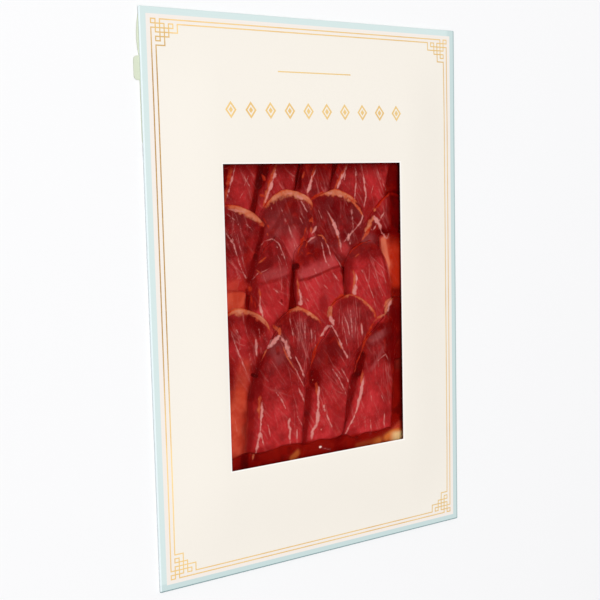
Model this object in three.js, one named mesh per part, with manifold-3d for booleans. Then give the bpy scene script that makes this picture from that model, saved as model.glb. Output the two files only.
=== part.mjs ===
// Sliced cured pork loin in a flat window pack: a folded card sleeve with a cut window, a closing
// flap on its back, and overlapping slices on a vacuum pouch behind the window.
// Millimetres. X runs to the pack's right, Y to its top edge, Z out of its printed front.
// The pack lies on its back, with the origin under the middle of its outline.

import * as THREE from 'three';
import { mergeVertices } from 'three/addons/utils/BufferGeometryUtils.js';
import Module from 'manifold-3d';

const wasm = await Module();
wasm.setup();

// Card sleeve
const sleeveWidth = 165;
const sleeveHeight = 240;
const cardThickness = 0.4;
const foldHeight = 1.1;       // height of the folded edges all round
const swell = 3.5;            // rise of the front from the folds to the window
const sideReach = 34;         // width of that rise along the sides
const endReach = 46;          // and along the top and bottom edges
const foldSteps = 4;

// Window, measured from the middle of the outline
const windowLeft = -47.15;
const windowRight = 46.8;
const windowTop = 57.55;
const windowBottom = -73;

// Closing flap and its tab, flat against the back
const flapThickness = 0.35;
const flapDepth = 56;         // from the top edge down the back
const flapOverhang = 0.1;     // past the left fold
const flapBow = 1.0;          // how far its left edge bulges out near the top
const flapInset = 9;          // short of the right fold
const flapCorner = 4;
const tabReach = 2.6;
const tabHeight = 9.6;
const tabTop = 19.4;          // below the top edge
const tabCorner = 2.0;

// Meat
const gap = 0.3;
const sliceThickness = 0.8;
const thinnestSlice = 0.4;
const bodyLevel = 2.8;        // top of a slice where it lies flat
const rimLevel = 3.9;         // top of its upper end, which lies on the row behind
const liftReach = 13;
const flankDrop = 0.9;        // dip of its left side into the fold
const flankWidth = 5.5;
const edgeRound = 0.2;        // bulge of a slice's cut edge
const endRound = 3;           // rounding of its lower corners
const tipWidth = 0.1;         // width left at the tip, as a share of the full width
const endWidth = 0.95;        // and at the lower end
const pouchTop = 1.7;
const pouchMargin = 10;       // under the card, past the window
const pouchRound = 0.4;

const front = foldHeight + swell;
const midX = tabReach / 2;    // the sleeve sits off the middle by half the tab
const sleeveLeft = midX - sleeveWidth / 2;
const sleeveRight = midX + sleeveWidth / 2;
const backRecess = flapThickness + gap;

const cardColour = 0xf2ece2;
const flapColour = 0xd9dfcb;
const leanColour = 0x9c1f26;
const deepColour = 0x6e0a0c;

// Each slice: its upper tip and lower end, the reach to its left and right, the length over which it
// widens from the tip on either side, how soon it widens (blunt), its tip's form (crown: a point at 1,
// a round arch at 0.5), and how high its lower part lies.
// They are listed from the lowest layer to the highest.
const slices = [
  { name: 'slice_a4', tip: [26.5, 63], end: [19, 22], left: 17, right: 17,
    widen: [3, 3], blunt: 2, crown: 0.5 },
  { name: 'slice_a3', tip: [2, 63], end: [-4, 30], left: 8.5, right: 9,
    widen: [3, 3], blunt: 2, crown: 0.5 },
  { name: 'slice_a2', tip: [-16.5, 63], end: [-24, 30], left: 12.5, right: 9.5,
    widen: [3, 3], blunt: 2, crown: 0.5 },
  { name: 'slice_a1', tip: [-34, 63], end: [-40, 30], left: 12, right: 7.5,
    widen: [3, 3], blunt: 2, crown: 0.5 },
  { name: 'slice_b4', tip: [42, 44], end: [33, 10], left: 15, right: 10,
    widen: [26, 4], blunt: 1.6, crown: 0.8 },
  { name: 'slice_b3', tip: [10.3, 46.1], end: [1.4, 10], left: 13, right: 20.3,
    widen: [8, 15], blunt: 2, crown: 0.75 },
  { name: 'slice_b2', tip: [-15, 46.3], end: [-24, 10], left: 11, right: 15.5,
    widen: [12, 9], blunt: 2, crown: 0.52 },
  { name: 'slice_b1', tip: [-45, 40.9], end: [-49, 1], left: 6, right: 19.5,
    widen: [10, 12], blunt: 2, crown: 0.65 },
  { name: 'slice_c4', tip: [43, 25.6], end: [47, -6], left: 8.8, right: 6,
    widen: [3, 3], blunt: 2, crown: 0.5 },
  { name: 'slice_c3', tip: [29, 22.2], end: [31.2, -20], left: 14.3, right: 12,
    widen: [11, 22], blunt: 2, crown: 0.6 },
  { name: 'slice_c2', tip: [-1.2, 25.2], end: [0.9, -21], left: 11.5, right: 15.2,
    widen: [9, 22], blunt: 2, crown: 0.7 },
  { name: 'slice_c1', tip: [-21.3, 25.8], end: [-25.8, -21], left: 11, right: 9.6,
    widen: [22, 15], blunt: 2, crown: 0.75 },
  { name: 'slice_c0', tip: [-44, 4.4], end: [-45, -16], left: 8, right: 7.4,
    widen: [2, 2], blunt: 2, crown: 0.5 },
  { name: 'slice_d4', tip: [43.5, -5], end: [44, -34], left: 6.5, right: 6,
    widen: [8, 3], blunt: 2, crown: 0.7 },
  { name: 'slice_d3', tip: [17.5, -1.4], end: [18, -60], left: 12, right: 15.5,
    widen: [9, 14], blunt: 2, crown: 0.72 },
  { name: 'slice_d2', tip: [-10.5, -4.8], end: [-6, -52], left: 14.5, right: 12.6,
    widen: [11, 12], blunt: 2, crown: 0.9 },
  { name: 'slice_d1', tip: [-42, -3.5], end: [-46, -68], left: 8, right: 17.5,
    widen: [8, 11], blunt: 2, crown: 0.6, level: 3.1 },
  { name: 'slice_e3', tip: [38.5, -13], end: [34, -67.6], left: 24, right: 7.3,
    widen: [34, 10], blunt: 1.8, crown: 1, level: 3.4 },
  { name: 'slice_e2', tip: [6.9, -14.9], end: [0, -67.6], left: 11.5, right: 12.5,
    widen: [26, 26], blunt: 1.7, crown: 1, level: 3.4 },
  { name: 'slice_e1', tip: [-20.3, -12.5], end: [-25.2, -67.6], left: 14.5, right: 15.5,
    widen: [32, 32], blunt: 1.5, crown: 1, level: 3.4 },
];

function smooth(t) {
  const k = Math.min(Math.max(t, 0), 1);
  return k * k * (3 - 2 * k);
}

function spread(from, to, steps) {
  return Array.from({ length: steps + 1 }, (_, i) => from + (to - from) * i / steps);
}

// A closed sheet over a grid of columns and rows. place(u, v, depth) gives a point: depth is 0 on
// the upper face and 1 on the lower one, and runs between them only along the outline.
function closedSheet(columns, rows, steps, place) {
  const positions = [];
  const index = new Map();
  const add = (i, j, k) => {
    const key = `${i},${j},${k}`;
    if (!index.has(key)) {
      index.set(key, positions.length / 3);
      positions.push(...place(columns[i], rows[j], k / steps));
    }
    return index.get(key);
  };
  const triangles = [];
  const lastColumn = columns.length - 1;
  const lastRow = rows.length - 1;
  for (let i = 0; i < lastColumn; i++) {
    for (let j = 0; j < lastRow; j++) {
      const upper = [add(i, j, 0), add(i + 1, j, 0), add(i + 1, j + 1, 0), add(i, j + 1, 0)];
      const lower = [add(i, j, steps), add(i + 1, j, steps), add(i + 1, j + 1, steps), add(i, j + 1, steps)];
      triangles.push(upper[0], upper[1], upper[2], upper[0], upper[2], upper[3]);
      triangles.push(lower[0], lower[2], lower[1], lower[0], lower[3], lower[2]);
    }
  }
  const outline = [];
  for (let i = 0; i < lastColumn; i++) outline.push([i, 0]);
  for (let j = 0; j < lastRow; j++) outline.push([lastColumn, j]);
  for (let i = lastColumn; i > 0; i--) outline.push([i, lastRow]);
  for (let j = lastRow; j > 0; j--) outline.push([0, j]);
  outline.forEach(([i, j], n) => {
    const [nextI, nextJ] = outline[(n + 1) % outline.length];
    for (let k = 0; k < steps; k++) {
      const a = add(i, j, k);
      const b = add(nextI, nextJ, k);
      const c = add(nextI, nextJ, k + 1);
      const d = add(i, j, k + 1);
      triangles.push(a, d, c, a, c, b);
    }
  });
  return solidFrom(new Float32Array(positions), new Uint32Array(triangles));
}

function solidFrom(vertProperties, triVerts) {
  return new wasm.Manifold(new wasm.Mesh({ numProp: 3, vertProperties, triVerts }));
}

function solidFromGeometry(geometry) {
  geometry.deleteAttribute('normal');
  geometry.deleteAttribute('uv');
  const merged = mergeVertices(geometry);
  return solidFrom(new Float32Array(merged.attributes.position.array), new Uint32Array(merged.index.array));
}

function largestPiece(solid) {
  const pieces = solid.decompose();
  return pieces.sort((a, b) => b.volume() - a.volume())[0];
}

function meshFrom(name, solid, colour, roughness) {
  const { vertProperties, triVerts } = solid.getMesh();
  const geometry = new THREE.BufferGeometry();
  geometry.setAttribute('position', new THREE.BufferAttribute(new Float32Array(vertProperties), 3));
  geometry.setIndex(new THREE.BufferAttribute(new Uint32Array(triVerts), 1));
  geometry.computeVertexNormals();
  const material = new THREE.MeshStandardMaterial({ color: colour, roughness, metalness: 0 });
  const mesh = new THREE.Mesh(geometry, material);
  mesh.name = name;
  return mesh;
}

// How far the front has risen at a point: nothing at the folds, all of it at the window.
function swollen(x, y) {
  const fromSide = Math.min(x - sleeveLeft, sleeveRight - x);
  const fromEnd = sleeveHeight / 2 - Math.abs(y);
  return smooth(fromSide / sideReach) * smooth(fromEnd / endReach);
}

// The back lies on z = 0, and is raised where the closing flap lies under it.
function backHeight(y) {
  const flapEdge = sleeveHeight / 2 - flapDepth;
  return backRecess * smooth((y - flapEdge + 4) / 3);
}

// The sleeve's outer surface, or with an inset the surface of its hollow.
function sleeveShell(inset) {
  const columns = [
    ...spread(sleeveLeft, windowLeft, 6),
    ...spread(windowLeft, windowRight, 3).slice(1),
    ...spread(windowRight, sleeveRight, 6).slice(1),
  ];
  const rows = [
    ...spread(-sleeveHeight / 2, windowBottom, 6),
    ...spread(windowBottom, windowTop, 3).slice(1),
    ...spread(windowTop, sleeveHeight / 2, 9).slice(1),
  ];
  const round = foldHeight / 2 - inset;
  return closedSheet(columns, rows, foldSteps, (x, y, depth) => {
    const top = foldHeight + swell * swollen(x, y) - inset;
    const bottom = Math.min(backHeight(y), foldHeight / 2 - 0.1) + inset;
    const out = round * (Math.sin(Math.PI * depth) - 1) - inset;
    const edgeX = x === sleeveLeft ? -1 : x === sleeveRight ? 1 : 0;
    const edgeY = Math.abs(y) === sleeveHeight / 2 ? Math.sign(y) : 0;
    const fold = (top - bottom) * (1 - Math.cos(Math.PI * depth)) / 2;
    return [x + edgeX * out, y + edgeY * out, top - fold];
  });
}

function cardSleeve() {
  const windowShape = new THREE.Shape()
    .moveTo(windowLeft, windowBottom)
    .lineTo(windowRight, windowBottom)
    .lineTo(windowRight, windowTop)
    .lineTo(windowLeft, windowTop);
  const cut = new THREE.ExtrudeGeometry(windowShape, { depth: front, bevelEnabled: false });
  cut.translate(0, 0, front / 2);
  const sleeve = sleeveShell(0).subtract(sleeveShell(cardThickness)).subtract(solidFromGeometry(cut));
  return meshFrom('card_sleeve', sleeve, cardColour, 0.6);
}

function closingFlap() {
  const top = sleeveHeight / 2 - 0.4;
  const bottom = sleeveHeight / 2 - flapDepth;
  const left = sleeveLeft - flapOverhang;
  const right = sleeveRight - flapInset;
  const tabLow = sleeveHeight / 2 - tabTop - tabHeight;
  const tabHigh = sleeveHeight / 2 - tabTop;
  const tabEnd = sleeveLeft - tabReach;
  const shape = new THREE.Shape()
    .moveTo(left + flapCorner, bottom)
    .lineTo(right - flapCorner, bottom)
    .quadraticCurveTo(right, bottom, right, bottom + flapCorner)
    .lineTo(right, top)
    .lineTo(left + 1, top)
    .quadraticCurveTo(left - 2 * flapBow, (top + tabHigh) / 2, left, tabHigh)
    .lineTo(tabEnd + tabCorner, tabHigh)
    .quadraticCurveTo(tabEnd, tabHigh, tabEnd, tabHigh - tabCorner)
    .lineTo(tabEnd, tabLow + tabCorner)
    .quadraticCurveTo(tabEnd, tabLow, tabEnd + tabCorner, tabLow)
    .lineTo(left, tabLow)
    .lineTo(left, bottom + flapCorner)
    .quadraticCurveTo(left, bottom, left + flapCorner, bottom);
  const settings = { depth: flapThickness, bevelEnabled: false, curveSegments: 6 };
  const sheet = new THREE.ExtrudeGeometry(shape, settings);
  return meshFrom('closing_flap', solidFromGeometry(sheet), flapColour, 0.7);
}

// The pouch under the slices, with the deeper meat in it.
function vacuumPouch() {
  const left = windowLeft - pouchMargin;
  const right = windowRight + pouchMargin;
  const low = windowBottom - pouchMargin;
  const high = windowTop + pouchMargin;
  const columns = spread(left, right, 10);
  const rows = spread(low, high, 14);
  const pouch = closedSheet(columns, rows, 2, (x, y, depth) => {
    const bottom = backHeight(y) + cardThickness + gap;
    const out = pouchRound * Math.sin(Math.PI * depth);
    const edgeX = x === left ? -1 : x === right ? 1 : 0;
    const edgeY = y === low ? -1 : y === high ? 1 : 0;
    return [x + edgeX * out, y + edgeY * out, pouchTop + (bottom - pouchTop) * depth];
  });
  return meshFrom('vacuum_pouch', pouch, deepColour, 0.3);
}

// One slice as a solid. With grow it becomes the room that the slice and all above it need.
function sliceSolid(slice, grow) {
  const [tipX, tipY] = slice.tip;
  const [endX, endY] = slice.end;
  const length = tipY - endY;
  const level = slice.level ?? bodyLevel;
  const columns = [-1, -0.72, -0.4, 0.1, 0.6, 1];
  const rows = [1, 0.97, 0.85, 0.7, 0.55, 0.4, 0.28, 0.18, 0.1, 0.05, 0.02, 0.005, 0];
  return closedSheet(columns, rows, 2, (u, v, depth) => {
    const down = v * length;
    const widening = Math.min(down / slice.widen[u < 0 ? 0 : 1], 1);
    const closing = Math.min((1 - v) * length / endRound, 1);
    const tipShape = (1 - (1 - widening) ** slice.blunt) ** slice.crown;
    const endShape = Math.sqrt(1 - (1 - closing) ** 2);
    const width = Math.max(tipShape, tipWidth) * (endWidth + (1 - endWidth) * endShape);
    const middle = tipX + (endX - tipX) * v;
    const reach = u < 0 ? slice.left : slice.right;
    const side = Math.abs(u) === 1 ? Math.sign(u) : 0;
    const end = v === 0 ? 1 : v === 1 ? -1 : 0;
    const out = edgeRound * Math.sin(Math.PI * depth) + grow;
    const x = middle + u * reach * width + side * out;
    const y = tipY - down + end * out;
    const fromLeft = (1 + u) * slice.left * width;
    const settled = smooth(down / liftReach);
    const dip = flankDrop * (1 - smooth(fromLeft / flankWidth)) * settled;
    const top = Math.max(rimLevel + (level - rimLevel) * settled - dip, pouchTop + gap + thinnestSlice);
    const under = Math.max(top - sliceThickness, pouchTop + gap) - grow;
    const ceiling = grow > 0 ? rimLevel + 1 : top;
    return [x, y, ceiling + (under - ceiling) * depth];
  });
}

function loinSlices() {
  const rooms = slices.map((slice) => sliceSolid(slice, gap));
  return slices.map((slice, i) => {
    let solid = sliceSolid(slice, 0);
    for (const room of rooms.slice(i + 1)) solid = solid.subtract(room);
    return meshFrom(slice.name, largestPiece(solid), leanColour, 0.35);
  });
}

const pack = new THREE.Group();
pack.add(cardSleeve());
pack.add(closingFlap());
pack.add(vacuumPouch());
pack.add(...loinSlices());

export default pack;
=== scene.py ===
import math

import bpy
import numpy as np
from mathutils import Matrix, Vector


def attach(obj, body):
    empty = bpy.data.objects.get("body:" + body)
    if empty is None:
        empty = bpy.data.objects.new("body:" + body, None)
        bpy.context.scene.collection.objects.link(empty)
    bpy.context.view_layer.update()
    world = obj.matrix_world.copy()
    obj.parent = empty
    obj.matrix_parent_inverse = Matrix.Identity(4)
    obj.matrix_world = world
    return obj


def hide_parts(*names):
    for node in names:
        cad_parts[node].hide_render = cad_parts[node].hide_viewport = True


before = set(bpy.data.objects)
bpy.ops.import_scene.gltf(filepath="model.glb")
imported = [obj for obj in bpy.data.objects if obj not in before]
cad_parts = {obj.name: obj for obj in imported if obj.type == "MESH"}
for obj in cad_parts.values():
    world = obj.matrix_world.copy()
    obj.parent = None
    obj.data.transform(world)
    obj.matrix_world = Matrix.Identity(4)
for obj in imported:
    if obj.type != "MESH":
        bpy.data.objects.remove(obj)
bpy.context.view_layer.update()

print("frame loaded")

# Everything below is worked out in millimetres and set in metres.
# X runs to the pack's right, Y to its top edge, Z out of its printed front.
mm = 0.001

sleeve = {
    "left": -81.2,
    "right": 83.8,
    "halfHeight": 120.0,
    "card": 0.4,
    "fold": 1.1,          # height of the folded edges
    "foldRound": 0.5,
    "swell": 3.5,         # rise of the front from the folds to the window
    "sideReach": 34.0,
    "endReach": 46.0,
    "flapStart": 60.0,    # the back is raised from this line on, over the flap
    "flapRise": 3.0,
    "flapRecess": 0.65,
    "cell": 2.0,
}
window = {"left": -47.15, "right": 46.8, "high": 57.55, "low": -73.0, "hem": 0.55, "press": 0.12}
middleX = (sleeve["left"] + sleeve["right"]) / 2


# Camera: the photograph's viewpoint, looking down on the lying pack
camera = {
    "place": (-265.41, 47.16, 390.68),
    "right": (0.83289, -0.02321, 0.55296),
    "up": (0.07771, 0.99413, -0.07533),
    "back": (-0.54796, 0.10572, 0.8298),
    "lens": 63.52,
    "sensor": 36,
}


def setCamera():
    made = bpy.data.objects.new("camera", bpy.data.cameras.new("camera"))
    bpy.context.scene.collection.objects.link(made)
    made.data.sensor_width = camera["sensor"]
    made.data.lens = camera["lens"]
    made.data.clip_start = 0.01
    made.data.clip_end = 20
    turn = Matrix((camera["right"], camera["up"], camera["back"])).transposed()
    made.matrix_world = Matrix.Translation(Vector(camera["place"]) * mm) @ turn.to_4x4()
    bpy.context.scene.camera = made


setCamera()


# Shapes shared by the pieces
def smooth(t):
    k = np.clip(t, 0, 1)
    return k * k * (3 - 2 * k)


def frontHeight(x, y):
    fromSide = np.minimum(x - sleeve["left"], sleeve["right"] - x)
    fromEnd = sleeve["halfHeight"] - np.abs(y)
    swollen = smooth(fromSide / sleeve["sideReach"]) * smooth(fromEnd / sleeve["endReach"])
    return sleeve["fold"] + sleeve["swell"] * swollen


def underFront(x, y, gap):
    # a height this gap below the front's card
    return frontHeight(x, y) - sleeve["card"] - gap


def backHeight(y):
    return sleeve["flapRecess"] * smooth((y - sleeve["flapStart"]) / sleeve["flapRise"])


def inWindow(x, y, margin):
    across = (x > window["left"] - margin) & (x < window["right"] + margin)
    return across & (y > window["low"] - margin) & (y < window["high"] + margin)


def between(raster, i, j, s, t):
    # the value at shares s and t of the way between four neighbours
    rows, columns = raster.shape
    row, nextRow = j % rows, (j + 1) % rows
    column, nextColumn = i % columns, (i + 1) % columns
    low = raster[row, column] * (1 - s) + raster[row, nextColumn] * s
    high = raster[nextRow, column] * (1 - s) + raster[nextRow, nextColumn] * s
    return low * (1 - t) + high * t


def ripple(x, y, size, seed):
    # seeded waves from -1 to 1, about as wide as size
    table = np.random.default_rng(seed).uniform(-1, 1, (64, 64))
    i = np.floor(x / size).astype(int)
    j = np.floor(y / size).astype(int)
    return between(table, i, j, smooth(x / size - i), smooth(y / size - j))


# Modelling steps shared by the pieces
def pick(*pieces):
    # object mode, with only these pieces selected and the first one active
    if bpy.context.object and bpy.context.object.mode != "OBJECT":
        bpy.ops.object.mode_set(mode="OBJECT")
    bpy.ops.object.select_all(action="DESELECT")
    for piece in pieces:
        piece.select_set(True)
    if pieces:
        bpy.context.view_layer.objects.active = pieces[0]


def newest(name):
    piece = bpy.context.object
    piece.name = name
    piece.data.name = name
    return piece


def settle(piece):
    pick(piece)
    bpy.ops.object.transform_apply(location=True, rotation=True, scale=True)


def points(piece):
    found = np.empty(len(piece.data.vertices) * 3)
    piece.data.vertices.foreach_get("co", found)
    return found.reshape(-1, 3) / mm


def movePoints(piece, places):
    piece.data.vertices.foreach_set("co", (places * mm).ravel())
    piece.data.update()


def gridSheet(name, across, along, low, high):
    pick()
    bpy.ops.mesh.primitive_grid_add(x_subdivisions=across, y_subdivisions=along, size=1)
    piece = newest(name)
    places = points(piece)
    for axis in (0, 1):
        places[:, axis] = low[axis] + (places[:, axis] * mm + 0.5) * (high[axis] - low[axis])
    movePoints(piece, places)
    return piece


def thicken(piece, depth, rimSlot=0):
    solid = piece.modifiers.new("wall", "SOLIDIFY")
    solid.thickness = depth * mm
    solid.offset = -1
    solid.use_even_offset = True
    solid.material_offset_rim = rimSlot
    pick(piece)
    bpy.ops.object.modifier_apply(modifier="wall")


def closedSheet(name, cells, low, high, material):
    # a closed sheet, and its points' places: first all of the upper side, then all of the lower one
    piece = gridSheet(name, cells[0], cells[1], low, high)
    piece.data.materials.append(material)
    thicken(piece, 0.1)
    places = points(piece)
    half = len(places) // 2
    places[half:, :2] = places[:half, :2]
    return piece, places


def smoothShade(piece, degrees):
    pick(piece)
    bpy.ops.object.shade_smooth_by_angle(angle=math.radians(degrees))


def deleteFaces(piece, unwanted):
    # from the active piece, by each face's middle and normal
    for elements in (piece.data.vertices, piece.data.edges):
        elements.foreach_set("select", [False] * len(elements))
    for face in piece.data.polygons:
        face.select = bool(unwanted(face.center / mm, face.normal))
    bpy.ops.object.mode_set(mode="EDIT")
    bpy.ops.mesh.select_mode(type="FACE")
    bpy.ops.mesh.delete(type="FACE")
    bpy.ops.object.mode_set(mode="OBJECT")


# Shader maths: a wire is a socket that takes part in sums
def sumOf(operation, turned=False):
    def worked(*terms):
        ordered = reversed(terms) if turned else terms
        return terms[0].recipe.node("Math", {"operation": operation}, dict(enumerate(ordered)))

    return worked


class Wire:
    def __init__(self, recipe, socket):
        self.recipe = recipe
        self.socket = socket

    __add__ = sumOf("ADD")
    __radd__ = sumOf("ADD", True)
    __sub__ = sumOf("SUBTRACT")
    __rsub__ = sumOf("SUBTRACT", True)
    __mul__ = sumOf("MULTIPLY")
    __rmul__ = sumOf("MULTIPLY", True)
    __truediv__ = sumOf("DIVIDE")
    __abs__ = sumOf("ABSOLUTE")
    least = sumOf("MINIMUM")
    most = sumOf("MAXIMUM")


class Recipe:
    def __init__(self, name, colours):
        self.material = bpy.data.materials.new(name)
        self.material.use_nodes = True
        self.tree = self.material.node_tree
        self.tree.nodes.clear()
        self.colours = {key: ink(*shade) for key, shade in colours.items()}

    # a node of any other kind, its settings first and then what its sockets take
    def node(self, kind, settings=None, links=None, output=0):
        made = self.tree.nodes.new("ShaderNode" + kind)
        for key, value in (settings or {}).items():
            setattr(made, key, value)
        for key, value in (links or {}).items():
            if isinstance(value, Wire):
                self.tree.links.new(value.socket, made.inputs[key])
            else:
                made.inputs[key].default_value = value
        return Wire(self, made.outputs[output])

    def vector(self, operation, first, second):
        slot = "Scale" if operation == "SCALE" else 1
        return self.node("VectorMath", {"operation": operation}, {0: first, slot: second})

    def place(self):
        # the point in millimetres
        return self.vector("SCALE", self.node("TexCoord", output="Object"), 1000.0)

    def parts(self, where):
        return [self.node("SeparateXYZ", None, {0: where}, output=axis) for axis in range(3)]

    def step(self, value, low, high):
        # 0 below low and 1 above high, with a soft turn
        ends = {"Value": value, "From Min": low, "From Max": high}
        return self.node("MapRange", {"interpolation_type": "SMOOTHSTEP"}, ends)

    def mix(self, amount, first, second):
        # two colours, each a wire or the name of one of the recipe's own
        pair = [self.colours[one] if isinstance(one, str) else one for one in (first, second)]
        settings = {"data_type": "RGBA", "blend_type": "MIX"}
        return self.node("Mix", settings, {0: amount, 6: pair[0], 7: pair[1]}, output=2)

    def ramp(self, value, stops):
        made = self.node("ValToRGB", None, {0: value})
        elements = made.socket.node.color_ramp.elements
        for at, _ in stops[1:-1]:
            elements.new(at)
        for element, (at, name) in zip(elements, stops):
            element.position = at
            element.color = self.colours[name]
        return made

    def noise(self, where, scale, detail=2.0, rough=0.5, output=0):
        links = {"Vector": where, "Scale": scale, "Detail": detail, "Roughness": rough}
        return self.node("TexNoise", None, links, output)

    def bump(self, height, strength, distance):
        return self.node("Bump", None, {"Height": height, "Strength": strength, "Distance": distance * mm})

    def surface(self, sockets):
        return self.node("BsdfPrincipled", None, sockets)

    def finish(self, shader):
        end = self.tree.nodes.new("ShaderNodeOutputMaterial")
        self.tree.links.new(shader.socket, end.inputs["Surface"])
        return self.material


def ink(red, green, blue):
    # a colour as a screen shows it, from 0 to 255, made linear
    shares = [part / 255 for part in (red, green, blue)]
    return tuple(s / 12.92 if s < 0.04045 else ((s + 0.055) / 1.055) ** 2.4 for s in shares) + (1.0,)


def plainMaterial(name, look):
    # one colour flecked with another
    plain = Recipe(name, look["colours"])
    fleck = plain.noise(plain.place(), *look["noise"])
    shown = plain.step(fleck, *look["step"]) if "step" in look else fleck
    rough, uneven = look["rough"]
    sockets = {
        "Base Color": plain.mix(shown * look["share"], "main", "fleck"),
        "Roughness": rough + fleck * uneven,
        "Specular IOR Level": look["gloss"],
    }
    if "bump" in look:
        sockets["Normal"] = plain.bump(fleck, look["bump"], 0.05)
    return plain.finish(plain.surface(sockets))


# Sleeve
cardColours = {
    "cream": (240, 234, 224),
    "blush": (239, 231, 224),
    "aqua": (209, 226, 225),
    # the aqua darkened towards the right and lower side: painted shade
    "shadedAqua": (197, 216, 216),
    # a painted highlight along the left fold, partly the edge worn lighter
    "fold": (236, 247, 250),
    # painted shade along the right and lower folds
    "edge": (116, 146, 150),
    "fibre": (214, 205, 192),
    "cloud": (226, 220, 214),
}
# where each tint of the card sets in and where it is full, along X, along Y or in from the edge
cardTints = {
    "sideBorder": (3.05, 2.95),
    "endBorder": (2.85, 2.75),
    "frame": (8.0, 5.5),
    # the aqua turns darker towards the right and lower side: painted shade
    "right": (78.0, 80.5),
    "low": (-116.0, -117.2),
    # painted shade along the right and lower fold, and a painted highlight, partly wear, along the left
    # fold
    "rightFoldShade": (sleeve["right"] - 1.0, sleeve["right"] - 0.7),
    "leftFoldWearAndHighlight": (sleeve["left"] + 0.75, sleeve["left"] + 0.35),
    "lowFoldShade": (0.7 - sleeve["halfHeight"], 0.5 - sleeve["halfHeight"]),
    "back": (sleeve["fold"] / 2 + 0.1, sleeve["fold"] / 2 - 0.1),
}
cutCard = {
    "colours": {"main": (252, 249, 245), "fleck": (232, 226, 216)},
    "noise": (6.0, 4.0, 0.7),
    "share": 0.25,
    "rough": (0.75, 0.1),
    "gloss": 0.2,
    "bump": 0.3,
}


def printedCard():
    card = Recipe("printed_card", cardColours)
    where = card.place()
    x, y, z = card.parts(where)
    fromSide = (x - sleeve["left"]).least(sleeve["right"] - x)
    fromEnd = sleeve["halfHeight"] - abs(y)
    along = {"sideBorder": fromSide, "endBorder": fromEnd, "frame": fromSide.least(fromEnd), "back": z,
             "right": x, "low": y, "rightFoldShade": x, "leftFoldWearAndHighlight": x, "lowFoldShade": y}
    tint = {name: card.step(along[name], *cardTints[name]) for name in cardTints}
    border = tint["sideBorder"].most(tint["endBorder"]).most(tint["back"])
    fibre = card.noise(where, 2.6, 4.0, 0.65)
    cloud = card.noise(where, 0.05, 2.0)
    # painted shade: the aqua darker towards the right and lower side
    aqua = card.mix(tint["right"].most(tint["low"]), "aqua", "shadedAqua")
    # painted shade along the right fold
    aqua = card.mix(tint["rightFoldShade"] * 0.5, aqua, "edge")
    base = card.mix(border, card.mix(tint["frame"], "cream", "blush"), aqua)
    base = card.mix(card.step(fibre, 0.35, 0.75) * 0.035, base, "fibre")
    base = card.mix(card.step(cloud, 0.4, 0.7) * 0.03, base, "cloud")
    # a painted highlight along the left fold, partly the edge worn lighter, then painted shade along the
    # lower fold
    base = card.mix(tint["leftFoldWearAndHighlight"] * 0.85, base, "fold")
    base = card.mix(tint["lowFoldShade"] * (0.75 + fibre * 0.3).least(1.0), base, "edge")
    grain = card.noise(where, 5.0, 3.0, 0.6)
    sockets = {
        "Base Color": base,
        "Roughness": 0.5 + fibre * 0.16,
        "Specular IOR Level": 0.3,
        "Normal": card.bump(grain + cloud * 0.4, 0.25, 0.05),
    }
    return card.finish(card.surface(sockets))


def cutCells():
    # cuts what is being edited into cells, with lines along the window and its hem
    hem = window["hem"]
    across = (sleeve["left"] + 1, window["left"], window["right"], sleeve["right"] - 1)
    along = (1 - sleeve["halfHeight"], window["low"], window["high"], sleeve["halfHeight"] - 1)
    for way, (first, low, high, last) in (((1, 0, 0), across), ((0, 1, 0), along)):
        for start, end in ((first, low - hem), (low, high), (high + hem, last)):
            count = max(1, round((end - start) / sleeve["cell"]))
            for step in range(count + 1):
                place = (start + (end - start) * step / count) * mm
                bpy.ops.mesh.select_all(action="SELECT")
                bpy.ops.mesh.bisect(plane_co=Vector(way) * place, plane_no=way)


def cardSleeve():
    pick()
    size = (sleeve["right"] - sleeve["left"], 2 * sleeve["halfHeight"], sleeve["fold"])
    halfFold = sleeve["fold"] / 2
    spot = Vector((middleX, 0, halfFold)) * mm
    bpy.ops.mesh.primitive_cube_add(size=mm, location=spot, scale=size)
    piece = newest("card_sleeve_fine")
    settle(piece)
    bpy.ops.object.mode_set(mode="EDIT")
    bpy.ops.mesh.select_mode(type="EDGE")
    bpy.ops.object.mode_set(mode="OBJECT")
    for edge in piece.data.edges:
        ends = [piece.data.vertices[corner].co for corner in edge.vertices]
        edge.select = abs(ends[0].z - ends[1].z) < 0.1 * mm
    bpy.ops.object.mode_set(mode="EDIT")
    bpy.ops.mesh.bevel(offset=sleeve["foldRound"] * mm, offset_type="OFFSET", segments=4, affect="EDGES")
    cutCells()
    bpy.ops.object.mode_set(mode="OBJECT")
    deleteFaces(piece, lambda middle, normal: normal.z > 0.5 and inWindow(middle.x, middle.y, 0))
    places = points(piece)
    x, y, z = places.T
    upper = z > halfFold
    back = np.minimum(backHeight(y), halfFold - 0.1)
    lifted = z + frontHeight(x, y) - sleeve["fold"]
    raised = back + z * (1 - back / halfFold)
    places[:, 2] = np.where(upper, lifted, raised)
    places[upper & inWindow(x, y, 0.01), 2] -= window["press"]
    movePoints(piece, places)
    piece.data.materials.append(printedCard())
    piece.data.materials.append(plainMaterial("card_core", cutCard))
    for face in piece.data.polygons:
        spot = face.center / mm
        if spot.z > 2 and inWindow(spot.x, spot.y, window["hem"]):
            face.material_index = 1
    thicken(piece, sleeve["card"], 1)
    smoothShade(piece, 35)
    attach(piece, "root")
    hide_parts("card_sleeve")
    print("card sleeve made", len(piece.data.polygons))


cardSleeve()


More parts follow.
